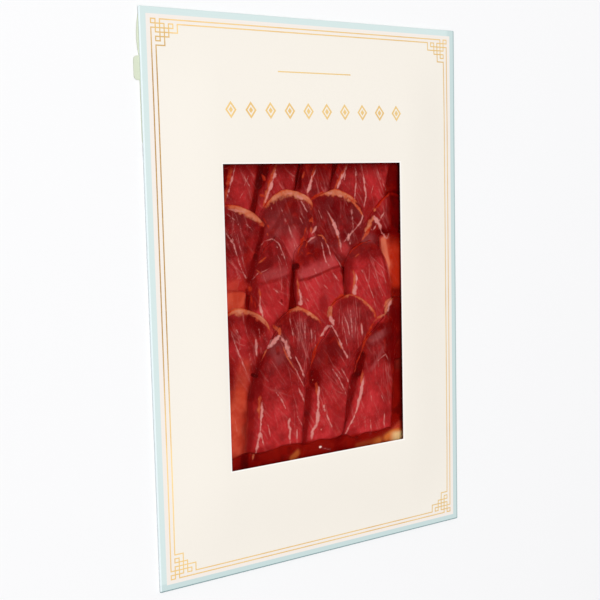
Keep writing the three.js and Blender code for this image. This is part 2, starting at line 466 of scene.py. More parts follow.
# Gold foil: the frame's two lines with a lattice at each corner, a short rule and a row of lozenges
foil = {
    "outerSide": 5.1,
    "outerEnd": 4.73,
    "pitch": (1.95, 1.73),
    "line": 0.5,
    "proud": 0.035,
    "depth": 0.03,
    "rule": (38.4, 96.6),
    "row": {"count": 10, "width": 93.0, "y": 79.95, "tall": 7.2, "wide": 5.4, "stroke": 0.75},
    "colours": {"gold": (250, 216, 148), "deepGold": (226, 176, 96), "dimGold": (172, 128, 56)},
    # the stretch along the frame's left side where the gold is darker, in patches: where it sets in and is
    # full along X, and along Y from below and from above
    "dimmedStretch": ((-66.0, -70.0), (-70.0, 0.0), (122.0, 92.0)),
}
# runs of the corner lattice, the same across and along: line number, and its first and last crossing
latticeRuns = (
    (0, 0, 1), (0, 2, 6), (1, 0, 3), (1, 4, 5), (2, 0, 5), (3, 1, 6), (4, 1, 4), (5, 1, 2), (6, 1, 3),
)
latticeLines = 7


def goldFoil():
    gold = Recipe("gold_foil", foil["colours"])
    where = gold.place()
    x, y, _ = gold.parts(where)
    patch = gold.noise(where, 0.045, 3.0, 0.6)
    fine = gold.noise(where, 1.1, 3.0, 0.6)
    shade = gold.step(patch, 0.42, 0.7) * 0.4 + fine * 0.2
    base = gold.mix(shade, "gold", "deepGold")
    across, fromLow, fromHigh = foil["dimmedStretch"]
    # the gold darker in patches over that stretch of the frame's left side
    atLeft = gold.step(x, *across) * gold.step(y, *fromLow) * gold.step(y, *fromHigh)
    base = gold.mix((atLeft * (0.55 + fine * 0.7)).least(1.0), base, "dimGold")
    sockets = {
        "Base Color": base,
        "Metallic": 0.35,
        "Roughness": 0.4 + fine * 0.18,
        "Normal": gold.bump(fine, 0.2, 0.03),
    }
    return gold.finish(gold.surface(sockets))


def cornerLattice():
    # a grid of cells, by turns as wide as a line and as the space between two lines
    cells = 2 * latticeLines - 1
    piece = gridSheet("lattice", cells, cells, (0, 0), (cells, cells))

    def drawn(line, first, last):
        return any(number == line and start <= first and last <= end for number, start, end in latticeRuns)

    def gap(middle, normal):
        c, inSpaceX = divmod(int(middle.x), 2)
        r, inSpaceY = divmod(int(middle.y), 2)
        alongRow = not inSpaceY and drawn(r, c, c + inSpaceX)
        alongColumn = not inSpaceX and drawn(c, r, r + inSpaceY)
        return not (alongRow or alongColumn)

    deleteFaces(piece, gap)
    places = points(piece)
    half = foil["line"] / 2
    for axis, pitch in enumerate(foil["pitch"]):
        step = np.rint(places[:, axis]).astype(int)
        places[:, axis] = (step // 2) * pitch + np.where(step % 2 == 0, -half, half)
    movePoints(piece, places)
    return piece


def copyOf(piece, places, turned):
    made = piece.copy()
    made.data = piece.data.copy()
    bpy.context.scene.collection.objects.link(made)
    movePoints(made, places)
    if turned:
        made.data.flip_normals()
    return made


def joined(name, pieces):
    pick(*pieces)
    bpy.ops.object.join()
    return newest(name)


def finishFoil(piece, gold):
    places = points(piece)
    places[:, 2] = frontHeight(places[:, 0], places[:, 1]) + foil["proud"]
    movePoints(piece, places)
    piece.data.materials.append(gold)
    thicken(piece, foil["depth"])
    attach(piece, "root")
    print(piece.name, "made", len(piece.data.polygons))


def goldFrame(gold):
    lattice = cornerLattice()
    flat = points(lattice)
    left = sleeve["left"] + foil["outerSide"]
    right = sleeve["right"] - foil["outerSide"]
    top = sleeve["halfHeight"] - foil["outerEnd"]
    pieces = []
    for signX, originX in ((1, left), (-1, right)):
        for signY, originY in ((-1, top), (1, -top)):
            x = originX + signX * flat[:, 0]
            y = originY + signY * flat[:, 1]
            pieces.append(copyOf(lattice, np.column_stack((x, y, flat[:, 2])), signX * signY < 0))
    bpy.data.objects.remove(lattice)
    half = foil["line"] / 2
    reachX, reachY = ((latticeLines - 1) * pitch + half for pitch in foil["pitch"])
    for order in (0, 1):
        inX, inY = (order * pitch for pitch in foil["pitch"])
        for y in (top - inY, -top + inY):
            pieces.append(gridSheet("line", 70, 1, (left + reachX, y - half), (right - reachX, y + half)))
        for x in (left + inX, right - inX):
            pieces.append(gridSheet("line", 1, 110, (x - half, -top + reachY), (x + half, top - reachY)))
    finishFoil(joined("gold_frame", pieces), gold)


def goldRule(gold):
    length, y = foil["rule"]
    half = foil["line"] / 2
    low = (middleX - length / 2, y - half)
    high = (middleX + length / 2, y + half)
    finishFoil(gridSheet("gold_rule", 20, 1, low, high), gold)


def goldLozenges(gold):
    row = foil["row"]
    pick()
    bpy.ops.mesh.primitive_circle_add(vertices=4, radius=mm / 2, fill_type="NGON")
    ring = newest("lozenge")
    movePoints(ring, points(ring) * (row["wide"], row["tall"], 1))
    bpy.ops.object.mode_set(mode="EDIT")
    bpy.ops.mesh.select_all(action="SELECT")
    bpy.ops.mesh.inset(thickness=row["stroke"] * mm)
    bpy.ops.mesh.inset(thickness=row["stroke"] * 0.8 * mm)
    bpy.ops.object.mode_set(mode="OBJECT")
    core = min(ring.data.polygons, key=lambda face: abs(face.center.x) + abs(face.center.y))
    coreSize = max(abs(ring.data.vertices[corner].co.x) for corner in core.vertices) / mm

    def gap(middle, normal):
        # the ring between the outer lozenge and the small one inside it
        outward = abs(middle.x) / row["wide"] + abs(middle.y) / row["tall"]
        inner = 2 * coreSize / row["wide"] * 0.25
        return inner * 1.05 < outward < 0.5 - row["stroke"] * 0.16

    deleteFaces(ring, gap)
    bpy.ops.object.mode_set(mode="EDIT")
    bpy.ops.mesh.select_all(action="SELECT")
    bpy.ops.mesh.subdivide(number_cuts=2)
    bpy.ops.object.mode_set(mode="OBJECT")
    flat = points(ring)
    pieces = []
    for number in range(row["count"]):
        share = number / (row["count"] - 1)
        x = middleX + (share - 0.5) * (row["width"] - row["wide"])
        pieces.append(copyOf(ring, flat + (x, row["y"], 0), False))
    bpy.data.objects.remove(ring)
    finishFoil(joined("gold_lozenges", pieces), gold)


gold = goldFoil()
goldFrame(gold)
goldRule(gold)
goldLozenges(gold)


# Closing flap: the CAD sheet, in pale sage card
flapLook = {
    "colours": {"main": (213, 221, 199), "fleck": (190, 200, 172)},
    "noise": (3.0, 4.0, 0.65),
    "step": (0.4, 0.8),
    "share": 0.4,
    "rough": (0.6, 0.15),
    "gloss": 0.25,
    "bump": 0.3,
}


def dressFlap():
    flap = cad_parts["closing_flap"]
    flap.data.materials.clear()
    flap.data.materials.append(plainMaterial("flap_card", flapLook))


dressFlap()
print("closing flap dressed")


# Meat. Each slice has its upper tip and lower end, its reach to the left and right, and the length over
# which it widens on either side. Its tip is a point at a crown of 1 and an arch at 0.5, and the blunter
# it is, the sooner it widens. They are listed from the lowest layer to the highest. Then comes its look:
# tone at the tip and further down and the length between them, the way of its grain in degrees from
# straight down to the right, and its fat rim: how far it runs down the left and right side, its width
# and warmth. Random veins keep off its bare length at the tip. Last come its streaks, under their kind.
# A streak is a half width, a strength or warmth, and the points that it follows.
# Its dark streaks are painted shade in its folds and beside the edges of the slices above it, and its haze
# streaks are a painted sheen of the film.
meat = {
    "floor": 1.7,
    "thick": 0.75,
    "gap": 0.04,
    "roof": 4.05,
    "mesh": 0.32,
    "flank": 5.5,
    "thinEdge": (1.6, 0.75),
    "underCard": 0.2,
    "near": 5,            # streaks of the slices above count up to this far outside a slice
    "far": 6.0,           # what the shader reads where no fat is near
    # the field that heights and looks are worked out on: left, right, low, high and cell
    "field": (-64.0, 64.0, -90.0, 74.0, 0.5),
    # waves of a slice's sides, tip, lower end and face: height, size and seed
    "waves": {
        "side": (0.45, 4.0, 20),
        "tip": (0.35, 3.0, 60),
        "end": (1.3, 6.5, 4),
        "face": (0.03, 2.2, 90),
    },
    "closing": 3,         # length over which its lower end closes
    "edgeRound": 0.8,
    "settled": 13,        # length over which its left flank thins
    "pulls": 45,          # rounds of pulling a slice tight over those below
    "tightness": 0.85,    # how the heights are spread under the roof
    "crowding": 1.4,      # the rows of its mesh lie closer together at the tip
    "wavyFrom": 0.6,      # share of the way to the side from which the side waves
    "wavyTip": 6,
    "wavyEnd": 5,
    # strength and width of the shade at its left and right side, and where it is full
    "leftShade": (0.6, 3.6),
    "rightShade": (0.4, 2.0),
    "shaded": 12,
}
# what a slice has where its own entry doesn't say
usual = {"blunt": 2, "crown": 0.5, "rim": (0, 0, 0, 0), "bare": 0}
slices = [
    {"name": "a4", "tip": (26.5, 63), "end": (19, 22), "left": 17, "right": 17, "widen": (3, 3),
     "tone": (0.48, 0.5, 20), "grain": 24, "pale": [(0.6, 0.95, 18, 56.5, 16.1, 52.8, 13.6, 49, 12, 46),
     (0.3, 0.8, 17.2, 54, 16.2, 50), (0.22, 0.8, 21.6, 57.5, 22.9, 54, 22.8, 48, 21.4, 38),
     (0.4, 0.9, 25.6, 57.5, 27, 53, 27.6, 47, 28.4, 42.5, 27, 37.5), (0.15, 0.7, 34, 57, 36.4, 51, 40, 45),
     (0.15, 0.6, 33, 48, 31, 43)], "peach": [(0.8, 0.9, 18.7, 58, 15.6, 53, 12.9, 49.5, 10.6, 45.5),
     (0.4, 1.1, 9.4, 52, 5.6, 45.5)], "dark": [(3, 0.4, 10, 57, 13, 56),
     (2.6, 1.15, 11, 58, 8.3, 52, 5.4, 45), (1.5, 0.5, 33, 41, 29, 35), (2, 0.6, 47, 46, 40, 44.5)],
     "light": [(6, 0.2, 34, 54, 34, 44)]},
    {"name": "a3", "tip": (2, 63), "end": (-4, 30), "left": 8.5, "right": 9, "widen": (3, 3),
     "tone": (0.25, 0.4, 16), "grain": 24, "pale": [(0.7, 1, -1.2, 52, -2.4, 48.3, -3.9, 44.8),
     (0.3, 0.8, 1.2, 55.5, -0.8, 51.5), (0.15, 0.7, 3, 49.5, 4, 46.5)],
     "peach": [(0.65, 0.95, 1.2, 58, -1.4, 51, -4.2, 44.5), (0.5, 0.95, -5.2, 54, -6.3, 51)],
     "dark": [(2, 0.5, -3.6, 57, -5, 50), (1.8, 1.15, -7.2, 58, -7.9, 52, -8.2, 48),
     (3, 0.55, 6.5, 58, 4, 52)]},
    {"name": "a2", "tip": (-16.5, 63), "end": (-24, 30), "left": 12.5, "right": 9.5, "widen": (3, 3),
     "tone": (0.35, 0.55, 14), "grain": 26, "pale": [(0.65, 1, -20, 55, -21.8, 50, -23.9, 45.5, -26, 41),
     (0.2, 0.5, -13, 53, -11, 49.5)], "peach": [(1, 0.75, -19.4, 58, -22, 51.5, -24.4, 45, -27, 38.5),
     (0.6, 0.95, -27.2, 53.2, -25.6, 50.4), (0.5, 1, -28, 33, -24.6, 28.4),
     (0.5, 0.9, -28.5, 44.5, -26, 43.6)], "dark": [(2.8, 1, -25, 57, -27.4, 50.5)]},
    {"name": "a1", "tip": (-34, 63), "end": (-40, 30), "left": 12, "right": 7.5, "widen": (3, 3),
     "tone": (0.5, 0.55, 20), "grain": 22,
     "pale": [(0.38, 0.9, -39.9, 57.5, -41.4, 52.6, -43, 48, -44.8, 43),
     (0.2, 0.8, -37, 55.5, -35, 50.5, -33, 47.5), (0.2, 0.5, -33.8, 52.5, -36, 48.5),
     (0.12, 0.6, -36, 46.5, -39.5, 41.5), (0.12, 0.8, -46.6, 56.1, -45, 55.7, -43.6, 56, -42.4, 57)],
     "peach": [(0.8, 0.95, -41.2, 59, -42.8, 53, -44.4, 47.5, -45.8, 41)],
     "dark": [(3, 1.1, -47.5, 58, -44, 59), (2.8, 1.05, -46, 56, -46.8, 49),
     (2.3, 1.12, -27.4, 58, -28.2, 52.5, -29, 48.4), (1.8, 1, -30, 46, -32.4, 37)]},
    {"name": "b4", "tip": (42, 44), "end": (33, 10), "left": 15, "right": 10, "widen": (26, 4),
     "blunt": 1.6, "crown": 0.8, "tone": (0.3, 0.35, 20), "grain": 25, "rim": (12, 7, 0.6, 1.15),
     "pale": [(1, 1, 32.4, 33.6, 33.8, 31, 35.2, 29.4, 36.2, 27.6),
     (0.45, 0.95, 35, 29, 36.7, 25.6, 39.6, 22.7), (0.35, 0.85, 35, 30.4, 36.7, 33, 38.4, 34.7),
     (0.35, 0.9, 33.8, 29.6, 31.6, 26.9, 30.2, 27.1), (0.25, 0.8, 39.6, 22.7, 40.7, 25)],
     "peach": [(1.1, 0.42, 26.8, 26, 29.6, 29.4, 32.6, 33.4), (0.55, 0.6, 33.1, 37, 32.7, 35.6),
     (0.8, 0.85, 30.2, 28.6, 27.6, 25.6, 25.2, 22.4), (0.4, 0.9, 25.4, 22.6, 21.6, 19.6, 17.6, 16.2)],
     "dark": [(1.8, 0.6, 34.2, 27, 33.6, 22.5), (4, 1.1, 45.8, 42, 46, 30)],
     "haze": [(2, 0.45, 26.6, 23.4, 31, 22.6)], "light": [(3, 0.2, 38, 38, 38, 35)]},
    {"name": "b3", "tip": (10.3, 46.1), "end": (1.4, 10), "left": 13, "right": 20.3, "widen": (8, 15),
     "crown": 0.75, "tone": (0.08, 0.22, 20), "grain": 28, "rim": (1.8, 5.5, 2.9, 0.28),
     # its first two pale streaks are painted highlights on its fat rim, over fat that is creamier there
     "pale": [(0.45, 0.5, 6.6, 44.4, 8.8, 44.2), (0.55, 0.5, 12.6, 43.4, 15, 42.6),
     (0.22, 0.7, 5.4, 37, 7.4, 34.4, 9.4, 31.2), (0.75, 0.95, 8.8, 32.5, 10.1, 30, 11.2, 27.4, 12, 25.2),
     (0.3, 0.8, 11.6, 26.6, 13.2, 21, 14.2, 17),
     (0.35, 0.9, 25.9, 34.6, 25.3, 32.4, 24.2, 30.4, 20.5, 27, 17.4, 24.6, 14.8, 22),
     (0.6, 1, 17.7, 26, 17.4, 22.6), (0.3, 0.9, 17.8, 24, 18.6, 21), (0.3, 0.8, 15, 22.2, 16.8, 24),
     (0.22, 0.7, 19, 38.6, 19.6, 34, 20, 30), (0.3, 0.8, 20, 27.5, 16.5, 23), (0.15, 0.6, 20, 37, 20.6, 28),
     (0.2, 0.5, 1, 38, 3, 33)], "peach": [(0.5, 0.7, 16, 43.2, 20, 40.6, 24, 36.6, 26.2, 33.4),
     (0.4, 1, -3.2, 40.8, 0, 43, 5, 45.2), (0.35, 0.75, 7.5, 33.5, 11, 27.5, 12.8, 20),
     (0.3, 0.7, 0.8, 26, 3.2, 25.6, 5, 23.4, 5.6, 20.6)], "dark": [(1.8, 0.75, -3.5, 40, -4.5, 30, -7, 20),
     (3, 0.35, 4.5, 28, 9, 22)], "haze": [(2, 0.2, 13, 21, 17, 18)],
     "light": [(2.5, 0.6, -3.4, 26.5, -3, 21.5), (2, 0.5, 15, 20, 17.3, 17)]},
    {"name": "b2", "tip": (-15, 46.3), "end": (-24, 10), "left": 11, "right": 15.5, "widen": (12, 9),
     "crown": 0.52, "tone": (0.08, 0.4, 24), "grain": 28, "rim": (7, 8.5, 2.9, 0.28),
     "pale": [(0.16, 0.7, -18.4, 38.8, -16.5, 34.2, -14.4, 30.6, -12, 26),
     (0.35, 0.7, -16.8, 33.6, -15.9, 32.2), (0.2, 0.7, -8.8, 34.4, -7.2, 31.4),
     (0.15, 0.5, -23.4, 39.6, -22.8, 37.4), (0.3, 0.8, -7.8, 41.5, -4.8, 36.3), (0.15, 0.5, -9, 38, -6, 33),
     (0.25, 0.7, -14.5, 30.5, -12.3, 25, -10.2, 18.5), (0.45, 0.9, 0.1, 29.8, -0.8, 28.2, -2, 26.8),
     # these last two pale streaks are painted highlights on its fat rim, over fat that is creamier there
     (0.45, 0.5, -15.6, 44.6, -12.6, 44.7), (0.5, 0.6, -9.8, 43.4, -6.8, 42)],
     "peach": [(0.8, 0.95, -4, 32.6, -1.8, 32.6), (0.4, 1, -2.4, 34.6, -1.8, 31),
     (0.55, 0.7, -2.8, 30, -2.3, 27.2)], "dark": [(3.4, 0.55, -13, 39, -13.4, 33),
     (2.6, 0.45, -16, 31.6, -14.6, 27), (1.1, 0.55, -23, 27.8, -17.4, 35.8),
     (1.6, 1, -28.2, 31, -29, 25.6, -31.6, 18, -33.6, 12, -35, 8),
     (0.9, 0.75, -31.4, 28.6, -33.6, 21, -35.4, 14.6)], "haze": [(2.2, 0.4, -12.6, 28, -11.8, 18),
     (4, 0.3, -20, 30.6, -16, 33)], "light": [(3, 0.45, -12.8, 26, -12.6, 21, -13.4, 15.6)]},
    {"name": "b1", "tip": (-45, 40.9), "end": (-49, 1), "left": 6, "right": 19.5, "widen": (10, 12),
     "crown": 0.65, "tone": (0.25, 0.52, 30), "grain": 24, "rim": (0, 10, 2.7, 0.3),
     "pale": [(0.15, 0.7, -45.5, 37, -40.5, 33.5, -38, 29),
     (0.3, 0.8, -46.3, 29.5, -42, 24, -40, 17.5, -38, 12, -36, 8.5),
     (0.2, 0.6, -46.5, 33, -42.5, 26.5, -41, 21.5), (0.2, 0.6, -40, 28, -38.5, 20, -36.5, 12),
     # the last of these pale streaks is a painted highlight on its fat rim, over fat that is creamier there
     (0.2, 0.6, -36.5, 32.5, -33, 29.5), (0.5, 0.4, -44.4, 38.8, -36.4, 37.4)],
     "peach": [(0.8, 0.9, -29, 33.4, -27, 31), (0.3, 1.1, -27.2, 34.4, -25.8, 32.2),
     (0.3, 1.1, -25.4, 31.6, -24.4, 29.6), (0.25, 0.8, -25.4, 28, -24.8, 26.6)],
     "dark": [(1.6, 0.5, -30.4, 28, -32, 20, -33.6, 10), (1.4, 0.6, -35, 26, -36, 14),
     (1.6, 1, -31.4, 18.4, -33, 13.6, -35, 8.2), (1.3, 0.95, -28.2, 29.6, -29, 25.6, -30.8, 20.4)],
     "light": [(4, 0.18, -42, 12, -42, 5)], "glow": [(3, 0.4, -46.5, 5.6, -39, 5.4)]},
    {"name": "c4", "tip": (43, 25.6), "end": (47, -6), "left": 8.8, "right": 6, "widen": (3, 3),
     "tone": (0.5, 0.5, 20), "grain": 20, "pale": [(0.45, 0.95, 36.6, 25.8, 37.6, 24.2, 39.6, 22.7),
     (0.25, 0.8, 39.6, 22.7, 40.7, 25.2)], "dark": [(1.7, 0.95, 34.6, 25.8, 49, 25.4)],
     "light": [(1.9, 0.9, 37, 22.4, 38, 17, 39.2, 11), (1.6, 0.45, 39.4, 10, 40.6, 5)],
     "glow": [(14, 1, 42, 22, 44, 12, 46, 1)], "warm": [(4, 0.9, 45, 26, 46, 12, 47, 0)]},
    {"name": "c3", "tip": (29, 22.2), "end": (31.2, -20), "left": 14.3, "right": 12, "widen": (11, 22),
     "crown": 0.6, "tone": (0.3, 0.84, 14), "grain": 27, "rim": (9, 0, 0.35, 0.9),
     "pale": [(0.4, 1, 21.3, 8.4, 22.3, 5.6, 21.9, 3.6, 21.5, 2), (0.95, 1, 21.7, 3, 21, 0.4, 20.6, -2.4),
     (0.2, 0.7, 25, 9, 28.5, 3, 31.6, -4, 32.8, -9), (0.2, 0.6, 29.2, 10.6, 33.5, 4, 37, -4),
     (0.15, 0.5, 27, 6, 30, 0), (0.15, 0.5, 36, 9, 39, 2)],
     "peach": [(0.6, 0.6, 20, 9.4, 21.3, 6, 20.9, 3, 19.6, -1.6), (0.25, 1, 15.6, 3.6, 15.9, 0),
     (0.22, 0.7, 20.8, 15.2, 23.2, 16.6)], "dark": [(2.8, 0.72, 16.8, 12, 16.4, -1),
     (1.4, 0.5, 18.8, 12, 18.6, 2), (2.4, 0.75, 19.8, 16.2, 23.6, 18.8), (3.2, 0.5, 26, 17, 34, 17.2),
     (0.7, 0.7, 35, 21, 36.6, 15, 39.3, 7, 40.8, 0), (2.2, 0.55, 40.4, 3, 41, -5),
     (3, 0.35, 34, -2, 34.4, -14)], "haze": [(1.9, 0.3, 20, 16.4, 23.4, 18.8)]},
    {"name": "c2", "tip": (-1.2, 25.2), "end": (0.9, -21), "left": 11.5, "right": 15.2, "widen": (9, 22),
     "bare": 12, "crown": 0.7, "tone": (0.2, 0.88, 27), "grain": 36,
     "pale": [(0.28, 0.75, 2.4, 22.8, 3.3, 19.6, 3.8, 16.8, 4.8, 14, 6.4, 12),
     (0.25, 0.75, 3.4, 24.6, 6.2, 20.4, 7.3, 17, 9, 13.8), (0.35, 0.85, -5, 23.1, -3.2, 24.4, -0.6, 25.3),
     (0.2, 0.6, 10, 16, 14.5, 9.3), (0.25, 0.7, 8.2, 9.2, 12.6, 4.2), (0.2, 0.6, 3.3, 4.1, 6.8, 0.8),
     (0.2, 0.5, -6, -1.5, -4, -3.6), (0.15, 0.6, -1.6, 11, -0.3, 8.7),
     (0.5, 1, -9.2, 2.6, -8.7, -1, -8.5, -4), (1.1, 1, -8.7, -2.4, -8.5, -4.8)],
     "peach": [(0.4, 1.15, -10.4, 17.6, -9.5, 20.4, -7.4, 23.6, -6.2, 27, -5.4, 30),
     (0.22, 1.05, -8.2, 21.6, -7.9, 24.4, -6.4, 25, -5.2, 23, -6.2, 20.8, -8, 21),
     (0.25, 1.2, -6.4, 17, -4.4, 18.4, -2, 17.6), (0.2, 1.1, -9, 19.6, -7.6, 17.8),
     (0.55, 0.75, -10.2, 8, -9.7, 3, -9.8, -1.6)], "dark": [(6, 0.35, 8, 3, 7, -8),
     (2.6, 0.5, 1, -10, 6, -13), (1, 0.7, -4.4, 20.4, -2.4, 21), (2, 0.7, -8.8, 15.2, -8.2, 15.6),
     (2.4, 0.6, -5, 17, 0, 18), (1.6, 1.25, -13.6, 12.4, -11, 12.8),
     (0.6, 0.72, -9, 6.4, -4, 7, 2, 8.6, 8, 10.6, 15, 12), (1.8, 0.9, -12.6, 14, -12.4, -3, -14, -7),
     (2, 0.6, -9, 16, -6, 14), (1.2, 0.2, 13.4, 8, 13, 0)],
     "haze": [(1.1, 0.5, -3, 23.6, -0.2, 25.4, 3.5, 25.4, 6, 23), (2.4, 0.4, -7, 9.6, 3, 11.6, 9, 14)],
     "light": [(2.6, 0.32, -6, 10.2, 3, 12.2, 9, 14.2, 13, 14.6), (4, 0.2, -2, 2, 8, 4),
     (2.2, 0.3, 9, 12, 13, 13)]},
    {"name": "c1", "tip": (-21.3, 25.8), "end": (-25.8, -21), "left": 11, "right": 9.6, "widen": (22, 15),
     "bare": 8, "crown": 0.75, "tone": (0.3, 0.72, 26), "grain": 36,
     "pale": [(0.2, 0.7, -30, 22, -27, 24.4, -23, 25.4, -20, 23.4, -17.6, 18.5, -15.5, 12),
     (0.14, 0.6, -33.4, 8.6, -31, 11, -27, 12, -24.5, 13), (0.65, 1, -29.9, 1, -29.8, -3.6, -28.3, -9),
     (0.2, 0.7, -20, -2.2, -17.4, -4.4), (0.18, 0.6, -23.3, 4, -19.4, 1.2),
     (0.15, 0.5, -20.9, -1.6, -17.5, -4), (0.15, 0.5, -21, 19, -18.5, 14),
     (0.32, 0.8, -18.5, 18.6, -18.2, 18), (0.25, 0.7, -21.1, 22, -20.4, 21.3)],
     "peach": [(0.35, 0.75, -31, 15.2, -28.8, 16.4, -26.4, 17.8), (0.32, 0.6, -31.9, 12.6, -29, 10.4),
     (0.55, 0.95, -30.5, 5, -29.9, 1, -30.5, -3.4), (0.45, 1.2, -34.4, 2, -33.8, -1.6),
     (0.25, 1.2, -32.4, -1, -31.8, -4), (0.8, 1, -35.2, 5.8, -34.4, 3.4)],
     "dark": [(2.4, 0.8, -29, 13.6, -25.2, 15), (1.2, 0.6, -24.6, 21.5, -24, 17),
     (0.7, 0.5, -32.4, 6.2, -25, 6.8, -19, 7.8, -15, 9), (1.3, 0.75, -34.4, 12, -34.6, -5),
     (1.5, 1, -31.8, 17, -33, 13.6, -35, 8.2), (2.2, 0.8, -33.2, 8, -32.4, -3),
     (2.4, 0.5, -27, 23, -31, 19), (0.8, 0.9, -36.2, 4, -36, -3), (0.5, 0.75, -18.8, -1.6, -18.6, -2.3),
     (0.9, 0.5, -17, 8, -16.4, -3)], "haze": [(1.8, 0.2, -28.6, 14, -25.2, 15.2),
     (2.2, 0.35, -27, 9.6, -18, 10.6)], "glow": [(2, 0.25, -36.6, 3, -36.4, -4)]},
    {"name": "c0", "tip": (-44, 4.4), "end": (-45, -16), "left": 8, "right": 7.4, "widen": (2, 2),
     "tone": (0.7, 0.5, 10), "grain": 20, "dark": [(0.35, 0.35, -46.5, 4.1, -38, 3.9)],
     "glow": [(10, 0.9, -48, 0.5, -40, 0.3)]},
    {"name": "d4", "tip": (43.5, -5), "end": (44, -34), "left": 6.5, "right": 6, "widen": (8, 3),
     "crown": 0.7, "tone": (0.2, 0.2, 20), "grain": 20,
     "pale": [(0.8, 0.9, 39.6, -11.6, 40.2, -8.6, 41.8, -6.4)],
     "peach": [(1.2, 0.3, 38.2, -12, 39, -8.5, 42.3, -5.2)], "glow": [(2, 0.3, 46.8, -26, 46.8, -34)]},
    {"name": "d3", "tip": (17.5, -1.4), "end": (18, -60), "left": 12, "right": 15.5, "widen": (9, 14),
     "crown": 0.72, "tone": (0.45, 0.5, 30), "grain": 10, "rim": (1.5, 14, 1.2, 0.5),
     "pale": [(0.7, 1, 6.7, -10.8, 7.4, -13, 8.5, -15.2), (0.35, 0.9, 7.6, -12.4, 9, -13.2),
     (0.25, 0.7, 13, -9, 16, -15, 17.4, -21), (0.2, 0.6, 18, -9, 19, -22),
     (0.5, 0.9, 24, -15.5, 24.2, -19, 24.8, -22), (0.2, 0.5, 21, -10, 20.5, -20),
     (0.2, 0.5, 13, -14, 16.5, -26)], "peach": [(0.75, 1.15, 7.6, -6.4, 9.8, -3.9, 13.5, -2.1, 16.5, -1.7),
     (1, 0.4, 7.4, -6.4, 6.3, -9, 6.9, -11.6)], "dark": [(2.6, 0.5, 12.5, -4.4, 18, -4.6),
     (2.6, 0.5, 5.4, -9, 4.6, -15)], "haze": [(3, 0.25, 18, -11, 18, -20)]},
    {"name": "d2", "tip": (-10.5, -4.8), "end": (-6, -52), "left": 14.5, "right": 12.6, "widen": (11, 12),
     "crown": 0.9, "tone": (0.4, 0.45, 20), "grain": 9, "rim": (2.5, 8.5, 1.7, 0.35),
     "pale": [(0.25, 0.6, -15.2, -9.5, -13, -19), (0.25, 0.6, -7.2, -10.5, -7.2, -21),
     (0.25, 0.6, -4, -15, -3.4, -24), (0.2, 0.5, -11, -12, -10, -24),
     (0.4, 0.9, -12.6, -26.6, -9.8, -32, -7.4, -37.6), (0.22, 0.7, -14, -28.6, -11, -34, -8.6, -38.6),
     (0.15, 0.5, -2, -16, -1.5, -24)], "dark": [(1.4, 0.6, -23, -13, -15, -6.3),
     (3, 0.35, -15, -8, -14, -16), (2.5, 0.6, 3.5, -3, 4, -14)], "haze": [(2.5, 0.2, -9, -13, -8, -22)]},
    {"name": "d1", "tip": (-42, -3.5), "end": (-46, -68), "left": 8, "right": 17.5, "widen": (8, 11),
     "crown": 0.6, "tone": (0.45, 0.6, 30), "grain": 22, "rim": (3, 11, 2.2, 0.35),
     "pale": [(0.25, 0.7, -45, -13, -41, -23, -36.8, -33),
     (0.5, 0.9, -32.9, -17.3, -32.4, -21, -32.2, -25.3), (0.2, 0.6, -31.2, -12, -30.5, -18),
     (0.25, 0.7, -42.6, -11.5, -40, -17), (0.15, 0.5, -44, -50, -43, -57)],
     "peach": [(0.9, 0.45, -35.2, -6.8, -32, -7.8, -29, -9.8, -27.3, -12)],
     "dark": [(2.8, 0.45, -45, -10, -43, -14), (2.6, 0.4, -35, -16, -33.4, -20),
     (0.5, 0.35, -46, -8.8, -38, -8), (3, 0.9, -35, -8.6, -31, -13), (3, 0.6, -46, -27, -47, -42),
     (3, 0.45, -46, -69.5, -39, -69)], "light": [(4, 0.15, -42, -15, -41, -25)],
     "glow": [(6.5, 0.9, -43, -45.5, -43.5, -55, -44, -70), (3, 0.42, -38.6, -29, -40.6, -40)]},
    {"name": "e3", "tip": (38.5, -13), "end": (34, -67.6), "left": 24, "right": 7.3, "widen": (34, 10),
     "blunt": 1.8, "crown": 1, "tone": (0.15, 0.88, 40), "grain": 18,
     "pale": [(0.2, 0.6, 33.4, -34, 38, -31.5, 40, -35),
     (0.6, 1, 24.9, -40.5, 23.5, -46, 22.2, -50.5, 19.8, -57), (0.4, 0.95, 20.6, -55, 17.6, -61, 14, -66.5),
     (0.2, 0.6, 28.6, -47, 29.2, -53.5), (0.35, 0.8, 37.2, -60, 36.7, -63.5, 37.2, -66.5),
     (0.3, 0.8, 28.6, -62, 29, -66, 29.6, -69), (0.2, 0.6, 28.5, -61, 29.4, -68),
     (0.15, 0.5, 35, -50, 37, -54)],
     "peach": [(0.4, 1.05, 31, -16.2, 28, -19.2, 25.8, -24, 23.8, -29, 21.2, -33, 19.6, -38),
     (1, 1.2, 29.8, -18, 27.2, -22, 25, -26.4), (0.7, 0.45, 31, -15.5, 34, -14, 38, -12.6),
     (0.6, 0.75, 24.3, -37.5, 23.3, -44)], "dark": [(2.6, 0.4, 29, -20.5, 25, -26, 21.6, -32, 19.4, -40),
     (3.1, 1.02, 23.6, -31, 21.6, -37.6), (3.2, 0.9, 40.6, -18, 40.6, -33), (3, 0.42, 39.8, -42, 39.6, -62),
     (1.8, 0.75, 32.4, -18.2, 36, -17.8), (1.2, 0.8, 34.4, -18.8, 35.6, -18.4),
     (2.5, 0.95, 19.6, -40, 17.8, -45.5, 15.6, -52, 12.8, -60, 10.8, -67), (1.8, 0.5, 15, -66.4, 19, -66)],
     "haze": [(1.6, 0.55, 29.6, -23.6, 34, -22.2, 38.4, -20.8),
     (0.9, 0.4, 38, -27.5, 33, -33.5, 29.5, -37.5)], "light": [(3, -0.14, 34.4, -46, 34.4, -62)]},
